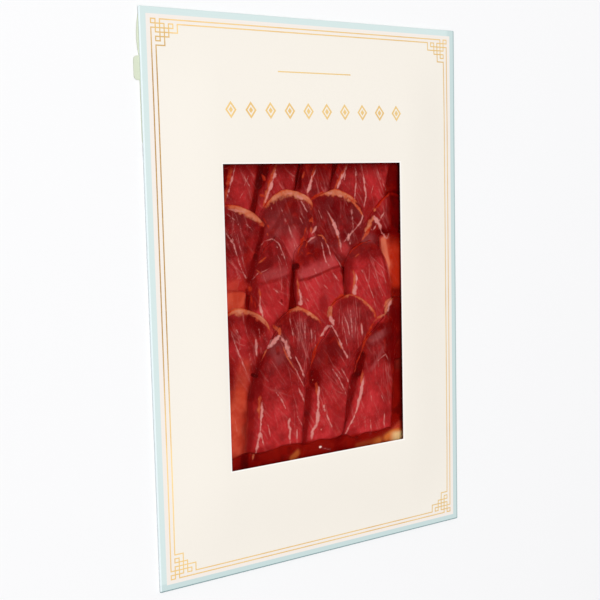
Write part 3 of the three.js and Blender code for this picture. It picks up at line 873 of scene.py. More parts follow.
    {"name": "e2", "tip": (6.9, -14.9), "end": (0, -67.6), "left": 11.5, "right": 12.5, "widen": (26, 26),
     "blunt": 1.7, "crown": 1, "tone": (0.12, 0.85, 46), "grain": 33,
     "pale": [(0.7, 1, 6.3, -15, 3.4, -16.9, 1.4, -19),
     (0.6, 0.9, 7, -15, 10.4, -20.5, 13.4, -26, 16.4, -31),
     (0.8, 1, -0.5, -42.3, -1, -48, -1, -56, -1.8, -59.5, -4, -62.3, -4.8, -66.3),
     (0.6, 0.95, 1.8, -50.6, 3.1, -54.4), (0.25, 0.8, 3, -54, 5.2, -58.5, 6.8, -62),
     (0.25, 0.7, 6, -33, 11, -40, 15, -49), (0.25, 0.7, 12, -35, 15, -40, 16.8, -45),
     (0.15, 0.5, 9, -34, 13, -40), (0.4, 0.9, 0.5, -61.8, 0.8, -62.4)],
     "peach": [(0.3, 0.75, 9.7, -21.5, 12.6, -26.5), (0.45, 0.1, -3.9, -38.6, -3.4, -38.7),
     (0.6, 0.9, -1.8, -40, -1.5, -46), (0.35, 1.1, -8, -55, -8.4, -58),
     (0.5, 1.2, 1.4, -19.5, -1.7, -25.5, -4.6, -32.5)], "dark": [(3.2, 0.6, 7.2, -23.4, 6.4, -30.6),
     (3, 0.3, 2, -25, 2, -31), (3.6, 0.95, -3, -36.5, -2.8, -39.5),
     (2, 0.88, -6, -43, -6.9, -54, -9, -66.5), (3, 0.42, 10.5, -53, 9, -68), (1.4, 0.5, -3, -26, -6, -36)]},
    {"name": "e1", "tip": (-20.3, -12.5), "end": (-25.2, -67.6), "left": 14.5, "right": 15.5,
     "widen": (32, 32), "blunt": 1.5, "crown": 1, "tone": (0.22, 0.8, 50), "grain": 34,
     "pale": [(1, 1, -20.8, -17, -24.2, -19.6, -27, -22),
     (0.95, 0.95, -20.4, -17.4, -18.3, -20.6, -16.6, -23.6, -15, -28),
     (0.28, 0.75, -13.6, -31, -11.5, -35.2, -8.6, -41), (0.6, 1, -30.6, -45, -31, -51, -31.9, -58.5),
     (1, 1, -31.9, -58.5, -33, -62), (0.6, 1, -33, -62, -34.4, -67.6),
     (0.35, 0.8, -31.6, -58.6, -30.2, -65),
     (0.45, 0.85, -16, -54.6, -16.8, -57, -15.8, -59.6, -16.4, -63, -16, -66.5),
     (0.3, 0.7, -12.4, -60, -12.5, -66), (0.3, 0.7, -27.8, -55.5, -26.4, -61),
     (0.25, 0.7, -23.7, -40.7, -20, -46, -18.3, -49.8), (0.2, 0.6, -12, -54, -9.5, -59),
     (0.35, 0.8, -11.6, -41.2, -9.3, -46, -8.3, -49)],
     "peach": [(0.9, 0.75, -23.4, -12.3, -21.2, -14.4, -20.7, -17),
     (0.35, 0.6, -19.2, -22, -16.5, -27.5, -12.8, -33.5), (0.35, 0.6, -27.3, -22.3, -30.3, -27.5),
     (0.8, 0.75, -31.5, -42, -32.3, -52), (0.4, 0.5, -34.3, -67, -35.2, -70.6)],
     "dark": [(2.4, 0.8, -33.2, -30.4, -31, -33), (0.8, 0.7, -22, -22.4, -21.5, -24.8),
     (2, 0.9, -30.2, -26, -33.1, -33.5, -34.8, -38, -36, -43), (1.8, 0.75, -36.4, -45, -37.4, -55),
     (2.6, 0.75, -32.4, -37, -32.8, -44), (1.8, 0.5, -39, -66.6, -25, -67),
     (2.8, 0.8, -37, -50, -37.8, -58, -38.8, -67), (0.9, 1.2, -34.6, -32.8, -32.6, -33.6),
     (4, 0.3, -14.5, -26, -14.5, -42)], "haze": [(2.6, 0.38, -23.6, -21.6, -20.8, -27)]},
]


def completed(one, layer):
    return {**usual, **one, "layer": layer, "length": one["tip"][1] - one["end"][1]}


slices = [completed(one, layer) for layer, one in enumerate(slices)]
fieldLeft, fieldRight, fieldLow, fieldHigh, fieldCell = meat["field"]
fieldX, fieldY = np.meshgrid(
    np.arange(fieldLeft, fieldRight + fieldCell / 2, fieldCell),
    np.arange(fieldLow, fieldHigh + fieldCell / 2, fieldCell),
)


def sample(raster, x, y):
    # the value of a raster over the field at these places
    across = np.clip((x - fieldLeft) / fieldCell, 0, raster.shape[1] - 1.001)
    along = np.clip((y - fieldLow) / fieldCell, 0, raster.shape[0] - 1.001)
    i = across.astype(int)
    j = along.astype(int)
    return between(raster, i, j, across - i, along - j)


def blurred(raster):
    for axis in (0, 1):
        raster = np.roll(raster, 1, axis) * 0.25 + raster * 0.5 + np.roll(raster, -1, axis) * 0.25
    return raster


def draped(ground, room, rounds):
    # a sheet pulled tight over what lies under it, inside its room
    sheet = ground.copy()
    weight = room.astype(float)
    share = np.maximum(blurred(weight), 1e-6)
    for _ in range(rounds):
        sheet = np.where(room, np.maximum(ground, blurred(sheet * weight) / share), ground)
    return sheet


def sideReach(one, down, onLeft):
    widen = np.where(onLeft, *one["widen"])
    tip = (1 - (1 - np.clip(down / widen, 0, 1)) ** one["blunt"]) ** one["crown"]
    closing = np.clip((one["length"] - down) / meat["closing"], 0, 1)
    end = np.sqrt(1 - (1 - closing) ** 2)
    return np.where(onLeft, one["left"], one["right"]) * np.maximum(tip, 0.06) * (0.95 + 0.05 * end)


def middleLine(one, down):
    return one["tip"][0] + (one["end"][0] - one["tip"][0]) * down / one["length"]


def placeAcross(one, down, u):
    # u runs from -1 on the slice's left side to 1 on its right side
    return middleLine(one, down) + u * sideReach(one, down, u < 0)


def outline(one, reaches, count, crowding):
    # points from this far down its left side, over its tip, to this far down its right side
    line = []
    for side, start, reach in zip((-1, 1), (1, 0), reaches):
        for down in np.linspace(start, 1 - start, count) ** crowding * reach:
            line.append((placeAcross(one, down, side), one["tip"][1] - down))
    apart = [spot for spot, following in zip(line, line[1:]) if math.dist(spot, following) > 0.01]
    return apart + line[-1:]


def thickness(one, u, down):
    fromSide = (1 - np.abs(u)) * sideReach(one, down, u < 0)
    fromEdge = np.minimum(np.minimum(fromSide, down + 0.05), one["length"] - down)
    rounding = np.sqrt(1 - (1 - np.clip(fromEdge / meat["edgeRound"], 0, 1)) ** 2)
    settled = smooth(down / meat["settled"])
    fromLeft = (1 + u) * sideReach(one, down, True)
    flank = 1 - 0.5 * (1 - smooth(fromLeft / meat["flank"])) * settled
    rimSwell = 1 + 0.18 * (1 - smooth(fromEdge / 2.5)) * (1 - settled)
    return meat["thick"] * (0.3 + 0.7 * rounding) * flank * rimSwell


def alongLine(x, y, line):
    # distance to a line through points, and how far along it the nearest place is, from 0 to 1
    lengths = [math.dist(a, b) for a, b in zip(line, line[1:])]
    best = np.full(x.shape, 1e9)
    share = np.zeros(x.shape)
    done = 0
    for (ax, ay), (bx, by), length in zip(line, line[1:], lengths):
        t = np.clip(((x - ax) * (bx - ax) + (y - ay) * (by - ay)) / length ** 2, 0, 1)
        distance = np.hypot(x - ax - t * (bx - ax), y - ay - t * (by - ay))
        nearer = distance < best
        best = np.where(nearer, distance, best)
        share = np.where(nearer, (done + t * length) / sum(lengths), share)
        done += length
    return best, share


def belly(share):
    # 0 at both ends of a line and 1 halfway
    return np.clip(4 * share * (1 - share), 0, 1)


def softened(beyond, width):
    # how far past an edge, as a share of the width over which it fades
    return beyond / (0.3 + width * 0.7)


def streaks(one, kind, x, y):
    # its streaks of a kind, and the fat and painted fold shade of the slices above it that come near
    def near(spots, places):
        return min(spots) < places.max() + meat["near"] and max(spots) > places.min() - meat["near"]

    found = list(one.get(kind, []))
    if kind in ("pale", "peach", "dark"):
        for other in slices[one["layer"] + 1:]:
            for streak in other.get(kind, []):
                if near(streak[2::2], x) and near(streak[3::2], y):
                    found.append(streak)
    for width, strength, *spots in found:
        distance, share = alongLine(x, y, list(zip(spots[::2], spots[1::2])))
        yield width, strength, distance, share


def fromStreaks(one, kind, x, y):
    # distance from the nearest streak's edge as a share of its width, less than 0 inside, and its value
    best = np.full(x.shape, meat["far"])
    value = np.zeros(x.shape)
    uneven = 1 + 0.5 * ripple(x, y, 2.4, 44)
    for width, strength, distance, share in streaks(one, kind, x, y):
        taper = 0.1 + 0.9 * np.sqrt(belly(share))
        edge = softened(distance - width * taper * uneven, width)
        value = np.where(edge < best, strength, value)
        best = np.minimum(best, edge)
    return best, value


def softPatches(one, kind, x, y):
    # soft patches, each full within half its width and fading outside it; dark ones, which are painted
    # shade, don't add up
    gather = np.maximum if kind == "dark" else np.add
    total = np.zeros(x.shape)
    for width, strength, distance, _ in streaks(one, kind, x, y):
        beyond = np.maximum(distance - width * 0.5, 0) / (width * 0.75)
        total = gather(total, strength * np.exp(-beyond ** 2))
    return total


def fromRim(one, x, y):
    # the same for its fat rim, with its warmth
    downLeft, downRight, width, warm = one["rim"]
    if width == 0:
        return np.full(x.shape, meat["far"]), np.zeros(x.shape)
    distance, share = alongLine(x, y, outline(one, (downLeft, downRight), 24, 1.6))
    fromEnds = np.minimum(share, 1 - share)
    taper = np.clip(fromEnds * 3.6, 0, 1) ** 0.75
    serration = 0.3 * ripple(x, y, 0.7, 5) + 0.45 * ripple(x, y, 3.2, 6)
    edge = softened(distance + serration - width * (0.25 + 0.75 * taper), width)
    warmth = warm + 0.5 * (1 - smooth(fromEnds * 5)) + 0.5 * (1 - smooth(distance / 0.6))
    return edge, warmth


veinPlan = {
    "seed": 400,
    "room": 22,           # square millimetres of a slice for each vein
    "along": (0.02, 0.95),
    "across": (-0.95, 0.95),
    "astray": 9,          # degrees off the grain
    "bend": 0.05,         # radians at every point, and the same loosely
    "looseBend": 0.09,
    "stride": (0.9, 1.7),
    "strides": 5,
    "width": (0.14, 0.3),
    "strength": (0.1, 0.8),
}


def veins(one, x, y):
    # fine lines of fat, drawn at random along the grain, each of its own bend and strength
    draw = np.random.default_rng(veinPlan["seed"] + one["layer"])
    length = one["length"]
    first, last = veinPlan["along"]
    count = round((one["left"] + one["right"]) * length / veinPlan["room"])
    drawn = np.zeros(x.shape)
    for _ in range(count):
        down = draw.uniform(max(first, one["bare"] / length), last) * length
        u = draw.uniform(*veinPlan["across"])
        spot = (placeAcross(one, down, u), one["tip"][1] - down)
        heading = math.radians(one["grain"] + draw.normal(0, veinPlan["astray"]))
        turning = draw.normal(0, veinPlan["bend"])
        stride = draw.uniform(*veinPlan["stride"]) + draw.exponential(1.0)
        line = [spot]
        for _ in range(veinPlan["strides"]):
            spot = (spot[0] + math.sin(heading) * stride, spot[1] - math.cos(heading) * stride)
            line.append(spot)
            heading += turning + draw.normal(0, veinPlan["looseBend"])
        width = draw.uniform(*veinPlan["width"])
        strength = draw.uniform(*veinPlan["strength"]) ** 1.5 * (1 - 0.45 * float(smooth(down / 50)))
        near = (np.abs(x - line[2][0]) < 3 * stride + 2) & (np.abs(y - line[2][1]) < 3 * stride + 2)
        distance, share = alongLine(x[near], y[near], line)
        body = 0.35 + 0.65 * belly(share)
        drawn[near] = np.maximum(drawn[near], np.clip(1.3 - distance / (width * body), 0, 1) * strength)
    return drawn


# where each band of painted shade starts and the width over which it turns dark; a span is a low end with
# the length over which it sets in, and a high end with the length over which it fades
bandPlaces = {
    "right": (40.9, 1.6),
    "low": (-66.0, 1.8),
    "top": (51.6, 5.4),
    "left": (-42.6, 4.5),
    "farLeft": (-46, 1.0),
    "wider": ((2.6, (-46, 8, -6, 8)), (3.0, (11, 5, 30, 4))),
    "leftSpan": (-44, 8, -3, 4),
}


def bands(x, y):
    # painted shade in from the window's card: along its right and lower edge, where the meat lies deeper,
    # and along its top and left edge
    def span(low, rise, high, fall):
        return smooth((y - low) / rise) * smooth((high - y) / fall)

    wave = 0.6 * ripple(x, y, 5, 3)
    besideBlock = smooth((y - 16.5) / 8) + smooth((1.5 - y) / 4)
    wider = sum(width * span(*where) for width, where in bandPlaces["wider"])
    start, turn = bandPlaces["right"]
    right = smooth((x - start + wider + wave) / (turn + wider)) * besideBlock
    start, turn = bandPlaces["low"]
    low = smooth((start - y + 1.5 * wave) / turn)
    start, turn = bandPlaces["top"]
    top = smooth((y - start + wave) / turn) * 0.88
    start, turn = bandPlaces["left"]
    besideGlow = np.maximum(span(*bandPlaces["leftSpan"]), smooth((y - 7) / 4))
    left = smooth((start - x + wave) / turn) * 0.5 * besideGlow
    start, turn = bandPlaces["farLeft"]
    left = np.maximum(left, smooth((start - x) / turn) * 0.6)
    return np.clip(1 - (1 - right) * (1 - low) * (1 - top) * (1 - left), 0, 1)


def slowLook(one, x, y, u, down):
    # what changes slowly over a slice: its tone, the painted shade in its folds, its haze, which is a
    # painted sheen of the film, and its glow
    high, low, turn = one["tone"]
    tone = high + (low - high) * smooth(down / turn) + softPatches(one, "light", x, y)
    fromLeft = (1 + u) * sideReach(one, down, True)
    fromRight = (1 - u) * sideReach(one, down, False)
    settled = smooth(down / meat["shaded"])
    uneven = 0.8 * ripple(x, y, 3.5, 12)
    strength, width = meat["leftShade"]
    deep = strength * (1 - smooth((fromLeft - 0.2 + uneven) / width)) * settled
    strength, width = meat["rightShade"]
    deep = np.maximum(deep, strength * (1 - smooth((fromRight + uneven * 0.5) / width)) * settled)
    deep = np.maximum(deep, np.clip(softPatches(one, "dark", x, y), 0, 1.3))
    haze = softPatches(one, "haze", x, y)
    glow = np.clip(softPatches(one, "glow", x, y), 0, 1)
    return {"tone": tone, "deep": deep, "haze": haze, "glow": glow}


def showingBelow(one, look, below, x, y):
    # its look, with a share of what lies below showing at its thin edge
    reach, share = meat["thinEdge"]
    fromEdge = alongLine(x, y, outline(one, (one["length"], one["length"]), 40, 2))[0]
    edge = share * (1 - smooth(fromEdge / reach))
    return {name: look[name] + (below[name] - look[name]) * edge for name in look}


def wholeLook(one, x, y, look):
    # what the shader reads at each point
    pale, milk = fromStreaks(one, "pale", x, y)
    peach, warmth = fromStreaks(one, "peach", x, y)
    rim, rimWarmth = fromRim(one, x, y)
    warmth = np.where(rim < peach, rimWarmth, warmth) + softPatches(one, "warm", x, y)
    fat = {"pale": pale, "milk": milk, "peach": np.minimum(peach, rim), "warmth": warmth}
    return {**fat, "vein": veins(one, x, y), "band": bands(x, y), **look}


def setLook(piece, look, x, y, degrees, shift):
    # the look as attributes, and a UV map in millimetres, turned so that V runs along the grain
    for name in look:
        attribute = piece.data.attributes.new(name, "FLOAT", "POINT")
        attribute.data.foreach_set("value", look[name].astype(np.float32))
    turn = math.radians(degrees)
    u = x * math.cos(turn) + y * math.sin(turn) + shift * 17.3
    v = -x * math.sin(turn) + y * math.cos(turn) + shift * 31.7
    layer = piece.data.uv_layers.new(name="grain")
    corners = np.empty(len(piece.data.loops), int)
    piece.data.loops.foreach_get("vertex_index", corners)
    layer.data.foreach_set("uv", np.column_stack((u[corners], v[corners])).ravel())


meatColours = {
    "dark": (100, 7, 9),
    "dusk": (123, 18, 19),
    "mid": (155, 32, 33),
    "bright": (177, 39, 41),
    "hot": (190, 48, 51),
    "bruise": (112, 34, 34),
    # deep, band, lowBand, flame and black are painted shade in the folds and in the band along the window's
    # edges, flecked red-orange and black where darkest
    "deep": (104, 0, 0),
    "band": (96, 0, 0),
    "lowBand": (127, 9, 2),
    "flame": (142, 18, 6),
    "black": (64, 0, 0),
    "glow": (200, 76, 52),
    "glowDeep": (173, 36, 14),
    "amber": (206, 108, 48),
    "litAmber": (232, 190, 134),
    "litGlow": (214, 108, 80),
    "vein": (204, 116, 110),
    "pale": (218, 150, 142),
    "cream": (208, 130, 100),
    "peach": (198, 94, 60),
    "paprika": (180, 44, 18),
    "ember": (158, 16, 4),
    # a painted sheen of the film, laid over the meat as a lighter, milky wash
    "haze": (158, 80, 80),
}
# the noise behind each part of the look: scale, detail and roughness
meatNoise = {
    "bend": (0.06, 0.0),
    "hairs": (1.0, 0.0),
    "hairSpots": (1.0, 1.0),
    "fibres": (1.3, 3.0, 0.6),
    "mottle": (0.16, 3.0, 0.5),
    "cloud": (0.55, 2.0, 0.5),
    "bruises": (0.22, 2.0),
    "glow": (0.18, 3.0),
    "broken": (0.25, 2.0),
    "ragged": (0.55, 4.0, 0.6),
    "tint": (0.45, 3.0, 0.6),
    "pale": (0.6, 2.0),
    "lit": (0.2, 2.0, 0.5),
}
# how the pattern is drawn out along the grain
drawnOut = {"hairs": (0.9, 0.1, 1.0), "hairSpots": (0.45, 0.18, 1.0), "fibres": (1.0, 0.12, 1.0)}
# where the look turns and where it has turned, along X or Y
meatTurns = {
    "cornerX": (40.0, 45.0),
    "cornerY": (-68.5, -71.0),
    "lowGlow": (-67.6, -69.0),
    "band": (-28.0, -62.0),
}
meatRamp = [(0.0, "dark"), (0.3, "dusk"), (0.6, "mid"), (0.85, "bright"), (1.0, "hot")]
rimRamp = [(0.0, "cream"), (0.35, "peach"), (0.7, "paprika"), (1.0, "ember")]


def curedLoin():
    loin = Recipe("cured_loin", meatColours)
    where = loin.place()
    x, y, _ = loin.parts(where)
    grain = loin.node("UVMap", {"uv_map": "grain"})
    read = {}
    for name in ("pale", "milk", "peach", "warmth", "vein", "tone", "deep", "haze", "glow", "band"):
        read[name] = loin.node("Attribute", {"attribute_name": name}, output="Fac")

    def pattern(name, spot=where, output=0):
        if name in drawnOut:
            spot = loin.vector("MULTIPLY", spot, drawnOut[name])
        return loin.noise(spot, *meatNoise[name], output=output)

    bend = loin.vector("SUBTRACT", pattern("bend", grain, "Color"), (0.5, 0.5, 0.5))
    bent = loin.vector("ADD", grain, loin.vector("SCALE", bend, 5.0))
    # hair-fine lines that follow the grain and fade out at both ends
    hair = 0.05
    kept = loin.step(pattern("hairSpots", grain), 0.5, 0.62)
    hairs = loin.step(kept * hair - abs(pattern("hairs", bent) - 0.5), 0.0, hair * 0.8)
    # the lean meat
    fibres = pattern("fibres", bent)
    mottle = pattern("mottle")
    cloud = pattern("cloud")
    level = read["tone"] + (mottle - 0.5) * 1.05 + (fibres - 0.5) * 0.3 + (cloud - 0.5) * 0.45
    bruised = loin.step(pattern("bruises"), 0.42, 0.62) * loin.step(read["tone"], 0.7, 0.2)
    base = loin.mix(bruised * 0.5, loin.ramp(level, meatRamp), "bruise")
    glowing = loin.step(pattern("glow", bent), 0.4, 0.62)
    glowColour = loin.mix((glowing * 0.5 + read["warmth"]).least(1.0), "glow", "glowDeep")
    glowColour = loin.mix(loin.step(read["tone"], 0.75, 1.5), glowColour, "litGlow")
    corner = loin.step(x, *meatTurns["cornerX"]) * loin.step(y, *meatTurns["cornerY"])
    lowGlow = loin.mix(corner, "amber", "litAmber")
    glowColour = loin.mix(loin.step(y, *meatTurns["lowGlow"]), glowColour, lowGlow)
    base = loin.mix(read["glow"], base, glowColour)
    # painted sheen of the film
    base = loin.mix(read["haze"] * (0.3 + mottle), base, "haze")
    clarity = 0.45 + 0.55 * loin.step(level, 0.1, 0.8)
    clarity = clarity * (1 - read["glow"] * 0.75)
    base = loin.mix(hairs * clarity * 0.1, base, "vein")
    broken = 0.35 + 0.65 * loin.step(pattern("broken"), 0.34, 0.56)
    base = loin.mix(read["vein"] * broken * clarity, base, "vein")
    # rims and streaks of fat, with edges that break up
    ragged = (pattern("ragged") - 0.5) * 3.0
    inPeach = loin.step(read["peach"] + ragged * 0.7, 0.4, -0.45)
    tint = read["warmth"] + (pattern("tint") - 0.5) * 1.5
    base = loin.mix(inPeach * (0.75 + mottle * 0.3).least(1.0), base, loin.ramp(tint / 1.5, rimRamp))
    inPale = loin.step(read["pale"] + ragged * 0.95, 0.4, -0.5)
    wet = pattern("pale")
    base = loin.mix(inPale * read["milk"] * 0.95, base, loin.mix(wet, "vein", "pale"))
    # painted shade: the band over the deeper meat beside the slices, and the folds between them, flecked
    # red-orange and black where darkest
    lit = loin.step(pattern("lit", bent), 0.46, 0.66)
    bandShadeColour = loin.mix(loin.step(y, *meatTurns["band"]), "band", "lowBand")
    bandShadeColour = loin.mix(lit * 0.3, bandShadeColour, "flame")
    bandShadeColour = loin.mix(loin.step(mottle, 0.44, 0.3) * 0.6, bandShadeColour, "black")
    base = loin.mix(read["band"] * 0.92, base, bandShadeColour)
    foldShade = read["deep"] * (1 - inPeach * 0.55) * (1 - inPale * 0.6)
    foldShadeColour = loin.mix(lit * loin.step(foldShade, 0.95, 0.6), "deep", "flame")
    darkestShade = loin.step(foldShade + (cloud - 0.5) * 0.5 + (mottle - 0.5) * 0.9, 0.76, 1.3)
    foldShadeColour = loin.mix(darkestShade, foldShadeColour, "black")
    base = loin.mix((foldShade * (0.7 + mottle * 0.5)).least(0.95), base, foldShadeColour)
    height = fibres * 0.5 + mottle * 0.8 + inPale * 0.2 + inPeach * 0.25
    sockets = {
        "Base Color": base,
        "Roughness": 0.34 + wet * 0.2,
        "Specular IOR Level": 0.015,
        "Subsurface Weight": 0.1,
        "Subsurface Radius": (1.0, 0.25, 0.12),
        "Subsurface Scale": 0.0012,
        "Normal": loin.bump(height, 0.3, 0.2),
    }
    return loin.finish(loin.surface(sockets))


def stackSlices():
    # every slice is pulled tight over the ones below it, then the whole stack is pressed under the roof
    ground = np.full(fieldX.shape, meat["floor"])
    shown = {"tone": 0.3, "deep": 0.8, "haze": 0.0, "glow": 0.0}
    shown = {name: np.full(fieldX.shape, value) for name, value in shown.items()}
    for one in slices:
        down = one["tip"][1] - fieldY
        nearest = np.clip(down, 0, one["length"])
        offset = fieldX - middleLine(one, down)
        u = offset / sideReach(one, nearest, offset < 0)
        inside = (np.abs(u) <= 1) & (down >= 0) & (down <= one["length"])
        u = np.clip(u, -1, 1)
        room = inside.copy()
        for _ in range(4):
            room |= np.roll(room, 1, 0) | np.roll(room, -1, 0) | np.roll(room, 1, 1) | np.roll(room, -1, 1)
        one["bed"] = draped(ground, room, meat["pulls"]) + meat["gap"]
        ground = np.where(inside, np.maximum(ground, one["bed"] + thickness(one, u, nearest)), ground)
        one["below"] = dict(shown)
        look = slowLook(one, fieldX, fieldY, u, nearest)
        look = showingBelow(one, look, shown, fieldX, fieldY)
        for name in look:
            shown[name] = np.where(inside, look[name], shown[name])
    return ground


def pressed(z, x, y):
    roof = np.minimum(meat["roof"], underFront(x, y, meat["underCard"]))
    share = np.clip((z - meat["floor"]) / (tallest - meat["floor"]), 0, 1)
    return meat["floor"] + (roof - meat["floor"]) * share ** meat["tightness"]


def makeSlice(one):
    number = one["layer"]
    length = one["length"]

    def wave(name, x, y, number):
        height, size, seed = meat["waves"][name]
        return height * ripple(x, y, size, seed + number)

    cells = (round((one["left"] + one["right"]) / meat["mesh"]), round(length / meat["mesh"]))
    piece, flat = closedSheet("slice_" + one["name"] + "_fine", cells, (-1, 0), (1, 1), loin)
    half = len(flat) // 2
    u = np.clip(flat[:, 0], -1, 1)
    down = length * np.clip(1 - flat[:, 1], 0, 1) ** meat["crowding"]
    x = placeAcross(one, down, u)
    y = one["tip"][1] - down
    waveX = wave("side", x, y, number) * smooth((np.abs(u) - meat["wavyFrom"]) / (1 - meat["wavyFrom"]))
    waveY = wave("tip", x, y, number) * (1 - smooth(down / meat["wavyTip"]))
    waveY += wave("end", x, 0 * y, 0) * smooth((down - length + meat["wavyEnd"]) / meat["wavyEnd"])
    low = sample(one["bed"], x, y)
    z = low + thickness(one, u, down) + wave("face", x, y, number)
    z[half:] = low[half:]
    places = np.column_stack((x + waveX, y + waveY, pressed(z, x, y)))
    movePoints(piece, places)
    x, y = places[:, 0], places[:, 1]
    below = {name: sample(raster, x, y) for name, raster in one["below"].items()}
    look = showingBelow(one, slowLook(one, x, y, u, down), below, x, y)
    setLook(piece, wholeLook(one, x, y, look), x, y, one["grain"], number)
    smoothShade(piece, 50)
    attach(piece, "root")
    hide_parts("slice_" + one["name"])


loin = curedLoin()
stackTop = stackSlices()
tallest = float(stackTop.max())
print("slices stacked, tallest", round(tallest, 2))
for one in slices:
    makeSlice(one)
print("slices made")


# Pouch: the deeper meat, and the clear film pressed over everything
pouch = {
    "backRise": 0.45,     # most that its under side follows the raised back
    "deep": {"margin": 9.6, "cell": 0.7, "above": 0.36},
    "film": {"margin": 10.0, "cell": 0.9, "above": 0.3},
    "filmLift": 0.07,
    "underCard": 0.06,
    "veil": 0.03,         # share of the film's own gloss over what is seen through it
    "filmColours": {"dark": (30, 6, 6), "light": (80, 24, 22)},
}
deepLook = {
    "tip": (0, 0), "end": (0, -1), "left": 1, "right": 1, "widen": (1, 1), "blunt": 1, "crown": 1,
    "tone": (0.3, 0.3, 1), "grain": 20,
    # its two pale streaks are a painted glint of the film, a white dot with a short line
    "pale": [(0.8, 1, 0.4, -70.1, 1.1, -70.5), (0.3, 0.9, 1.4, -70.8, 3.4, -71.5, 6.4, -72.6)],
    # its dark streaks are painted shade
    "dark": [(2.6, 1.05, -39.2, -66, -39.2, -72.5), (2.4, 0.6, -36, -71, -31, -72.5),
             (1.0, 0.7, -9.8, -67, -9.8, -73), (2.4, 0.8, 11.5, -67, 10.8, -73)],
    "glow": [(1.6, 0.42, 22, -73.3, 34, -72.4), (1.8, 1.0, 43.2, -73.0, 46.6, -71.6),
             (2, 0.3, 46.8, -32, 46.8, -38), (1.5, 0.5, 39, -71.6, 43.5, -69.2, 47, -66),
             (3.6, 0.5, 35, -75, 46, -70.6), (1.4, 0.72, -14.6, -73.2, -11.4, -71)],
}
speck = {
    "place": (0.7, -70.3, 1.62),
    "size": (0.75, 0.5, 0.16),
    "colours": {"main": (250, 226, 214), "fleck": (238, 196, 180)},
    "noise": (1.2, 2.0),
    "share": 1.0,
    "rough": (0.35, 0.1),
    "gloss": 0.3,
}


def pouchSheet(name, layer, material):
    # a closed sheet past the window's edges, and how far each of its points is from the sheet's edge
    low = (window["left"] - layer["margin"], window["low"] - layer["margin"])
    high = (window["right"] + layer["margin"], window["high"] + layer["margin"])
    cells = [round((end - start) / layer["cell"]) for start, end in zip(low, high)]
    piece, places = closedSheet(name, cells, low, high, material)
    x, y = places[:, 0], places[:, 1]
    fromEdge = np.minimum(np.minimum(x - low[0], high[0] - x), np.minimum(y - low[1], high[1] - y))
    return piece, x, y, fromEdge


def layPouch(piece, x, y, top, layer):
    # the upper layer of points at the top, and the lower one over the sleeve's back
    bottom = np.minimum(backHeight(y), pouch["backRise"]) + sleeve["card"] + layer["above"]
    z = np.where(np.arange(len(x)) < len(x) // 2, top, bottom)
    movePoints(piece, np.column_stack((x, y, z)))


def deepMeat():
    piece, x, y, fromEdge = pouchSheet("deep_meat", pouch["deep"], loin)
    top = meat["floor"] - 0.02 - 0.25 * (1 + ripple(x, y, 4, 7)) / 2 - 0.3 * (1 - smooth(fromEdge / 1.5))
    layPouch(piece, x, y, top, pouch["deep"])
    one = completed(deepLook, -1)
    nowhere = np.zeros(len(x))
    look = wholeLook(one, x, y, slowLook(one, x, y, nowhere, nowhere))
    inFat = np.minimum(look["pale"], look["peach"]) < 0.5
    # painted shade over the deeper meat, except on its fat and where it glows
    look["band"] = np.where(inFat, 0.0, np.clip(1 - look["glow"], 0, 1))
    setLook(piece, look, x, y, one["grain"], 40)
    smoothShade(piece, 50)
    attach(piece, "root")
    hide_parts("vacuum_pouch")


def clearFilm():
    film = Recipe("clear_film", pouch["filmColours"])
    where = film.place()
    crinkle = film.noise(where, 0.5, 3.0, 0.55)
    haze = film.noise(where, 0.12, 2.0)
    sockets = {
        "Base Color": film.mix(haze, "dark", "light"),
        "Roughness": 0.1 + haze * 0.12,
        "IOR": 1.5,
        "Specular IOR Level": 0.6,
        "Normal": film.bump(crinkle, 0.25, 0.3),
    }
    clear = film.node("BsdfTransparent", None, {"Color": (1, 1, 1, 1)})
    return film.finish(film.node("MixShader", None, {0: pouch["veil"], 1: clear, 2: film.surface(sockets)}))


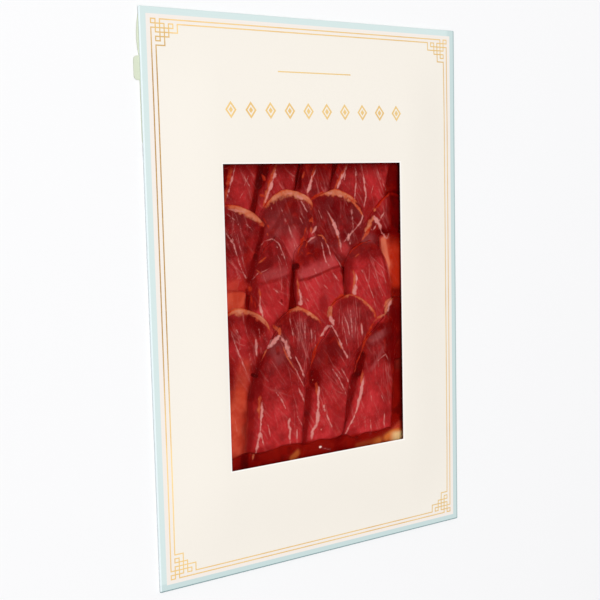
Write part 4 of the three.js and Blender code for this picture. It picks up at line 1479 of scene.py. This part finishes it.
def pouchFilm():
    layer = pouch["film"]
    ground = pressed(stackTop, fieldX, fieldY)
    room = inWindow(fieldX, fieldY, layer["margin"] + 1)
    skin = draped(ground, room, 25) + pouch["filmLift"]
    piece, x, y, _ = pouchSheet("pouch_film", layer, clearFilm())
    top = np.minimum(sample(skin, x, y), underFront(x, y, pouch["underCard"]))
    layPouch(piece, x, y, top, layer)
    smoothShade(piece, 60)
    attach(piece, "root")
    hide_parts("vacuum_pouch")


def glintSpeck():
    # a white speck in the clear band under the slices: a painted glint of the film
    pick()
    spot = Vector(speck["place"]) * mm
    bpy.ops.mesh.primitive_uv_sphere_add(
        segments=16, ring_count=8, radius=mm, location=spot, scale=speck["size"])
    piece = newest("glint_speck")
    settle(piece)
    piece.data.materials.append(plainMaterial("painted_glint", speck))
    smoothShade(piece, 60)
    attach(piece, "root")


deepMeat()
glintSpeck()
pouchFilm()
print("pouch made")


# Floor, lights and world
studio = {
    "floor": {
        "colours": {"main": (243, 243, 244), "fleck": (225, 225, 228)},
        "noise": (0.02, 2.0),
        "share": 0.03,
        "rough": (0.8, 0.0),
        "gloss": 0.1,
    },
    "floorSize": 8000.0,
    "floorDrop": 0.1,
    "world": 0.36,
    "key": {"place": (-700, 900, 3200), "size": 2600, "power": 76.0},
    "fill": {"place": (-300, -900, 3200), "size": 2600, "power": 22.0},
}


def setStage():
    pick()
    drop = -studio["floorDrop"] * mm
    bpy.ops.mesh.primitive_plane_add(size=studio["floorSize"] * mm, location=(0, 0, drop))
    floor = newest("floor")
    settle(floor)
    floor.data.materials.append(plainMaterial("floor_paint", studio["floor"]))


def setLight(name):
    settings = studio[name]
    lamp = bpy.data.lights.new(name, "AREA")
    lamp.shape = "DISK"
    lamp.size = settings["size"] * mm
    lamp.energy = settings["power"]
    made = bpy.data.objects.new(name, lamp)
    bpy.context.scene.collection.objects.link(made)
    place = Vector(settings["place"]) * mm
    made.matrix_world = Matrix.Translation(place) @ place.to_track_quat("Z", "Y").to_matrix().to_4x4()


def setWorld():
    world = bpy.data.worlds.new("studio")
    world.use_nodes = True
    sky = world.node_tree.nodes["Background"]
    sky.inputs["Color"].default_value = (1, 1, 1, 1)
    sky.inputs["Strength"].default_value = studio["world"]
    bpy.context.scene.world = world
    bpy.context.scene.view_settings.view_transform = "Standard"


setStage()
setLight("key")
setLight("fill")
setWorld()
print("stage and lights set")
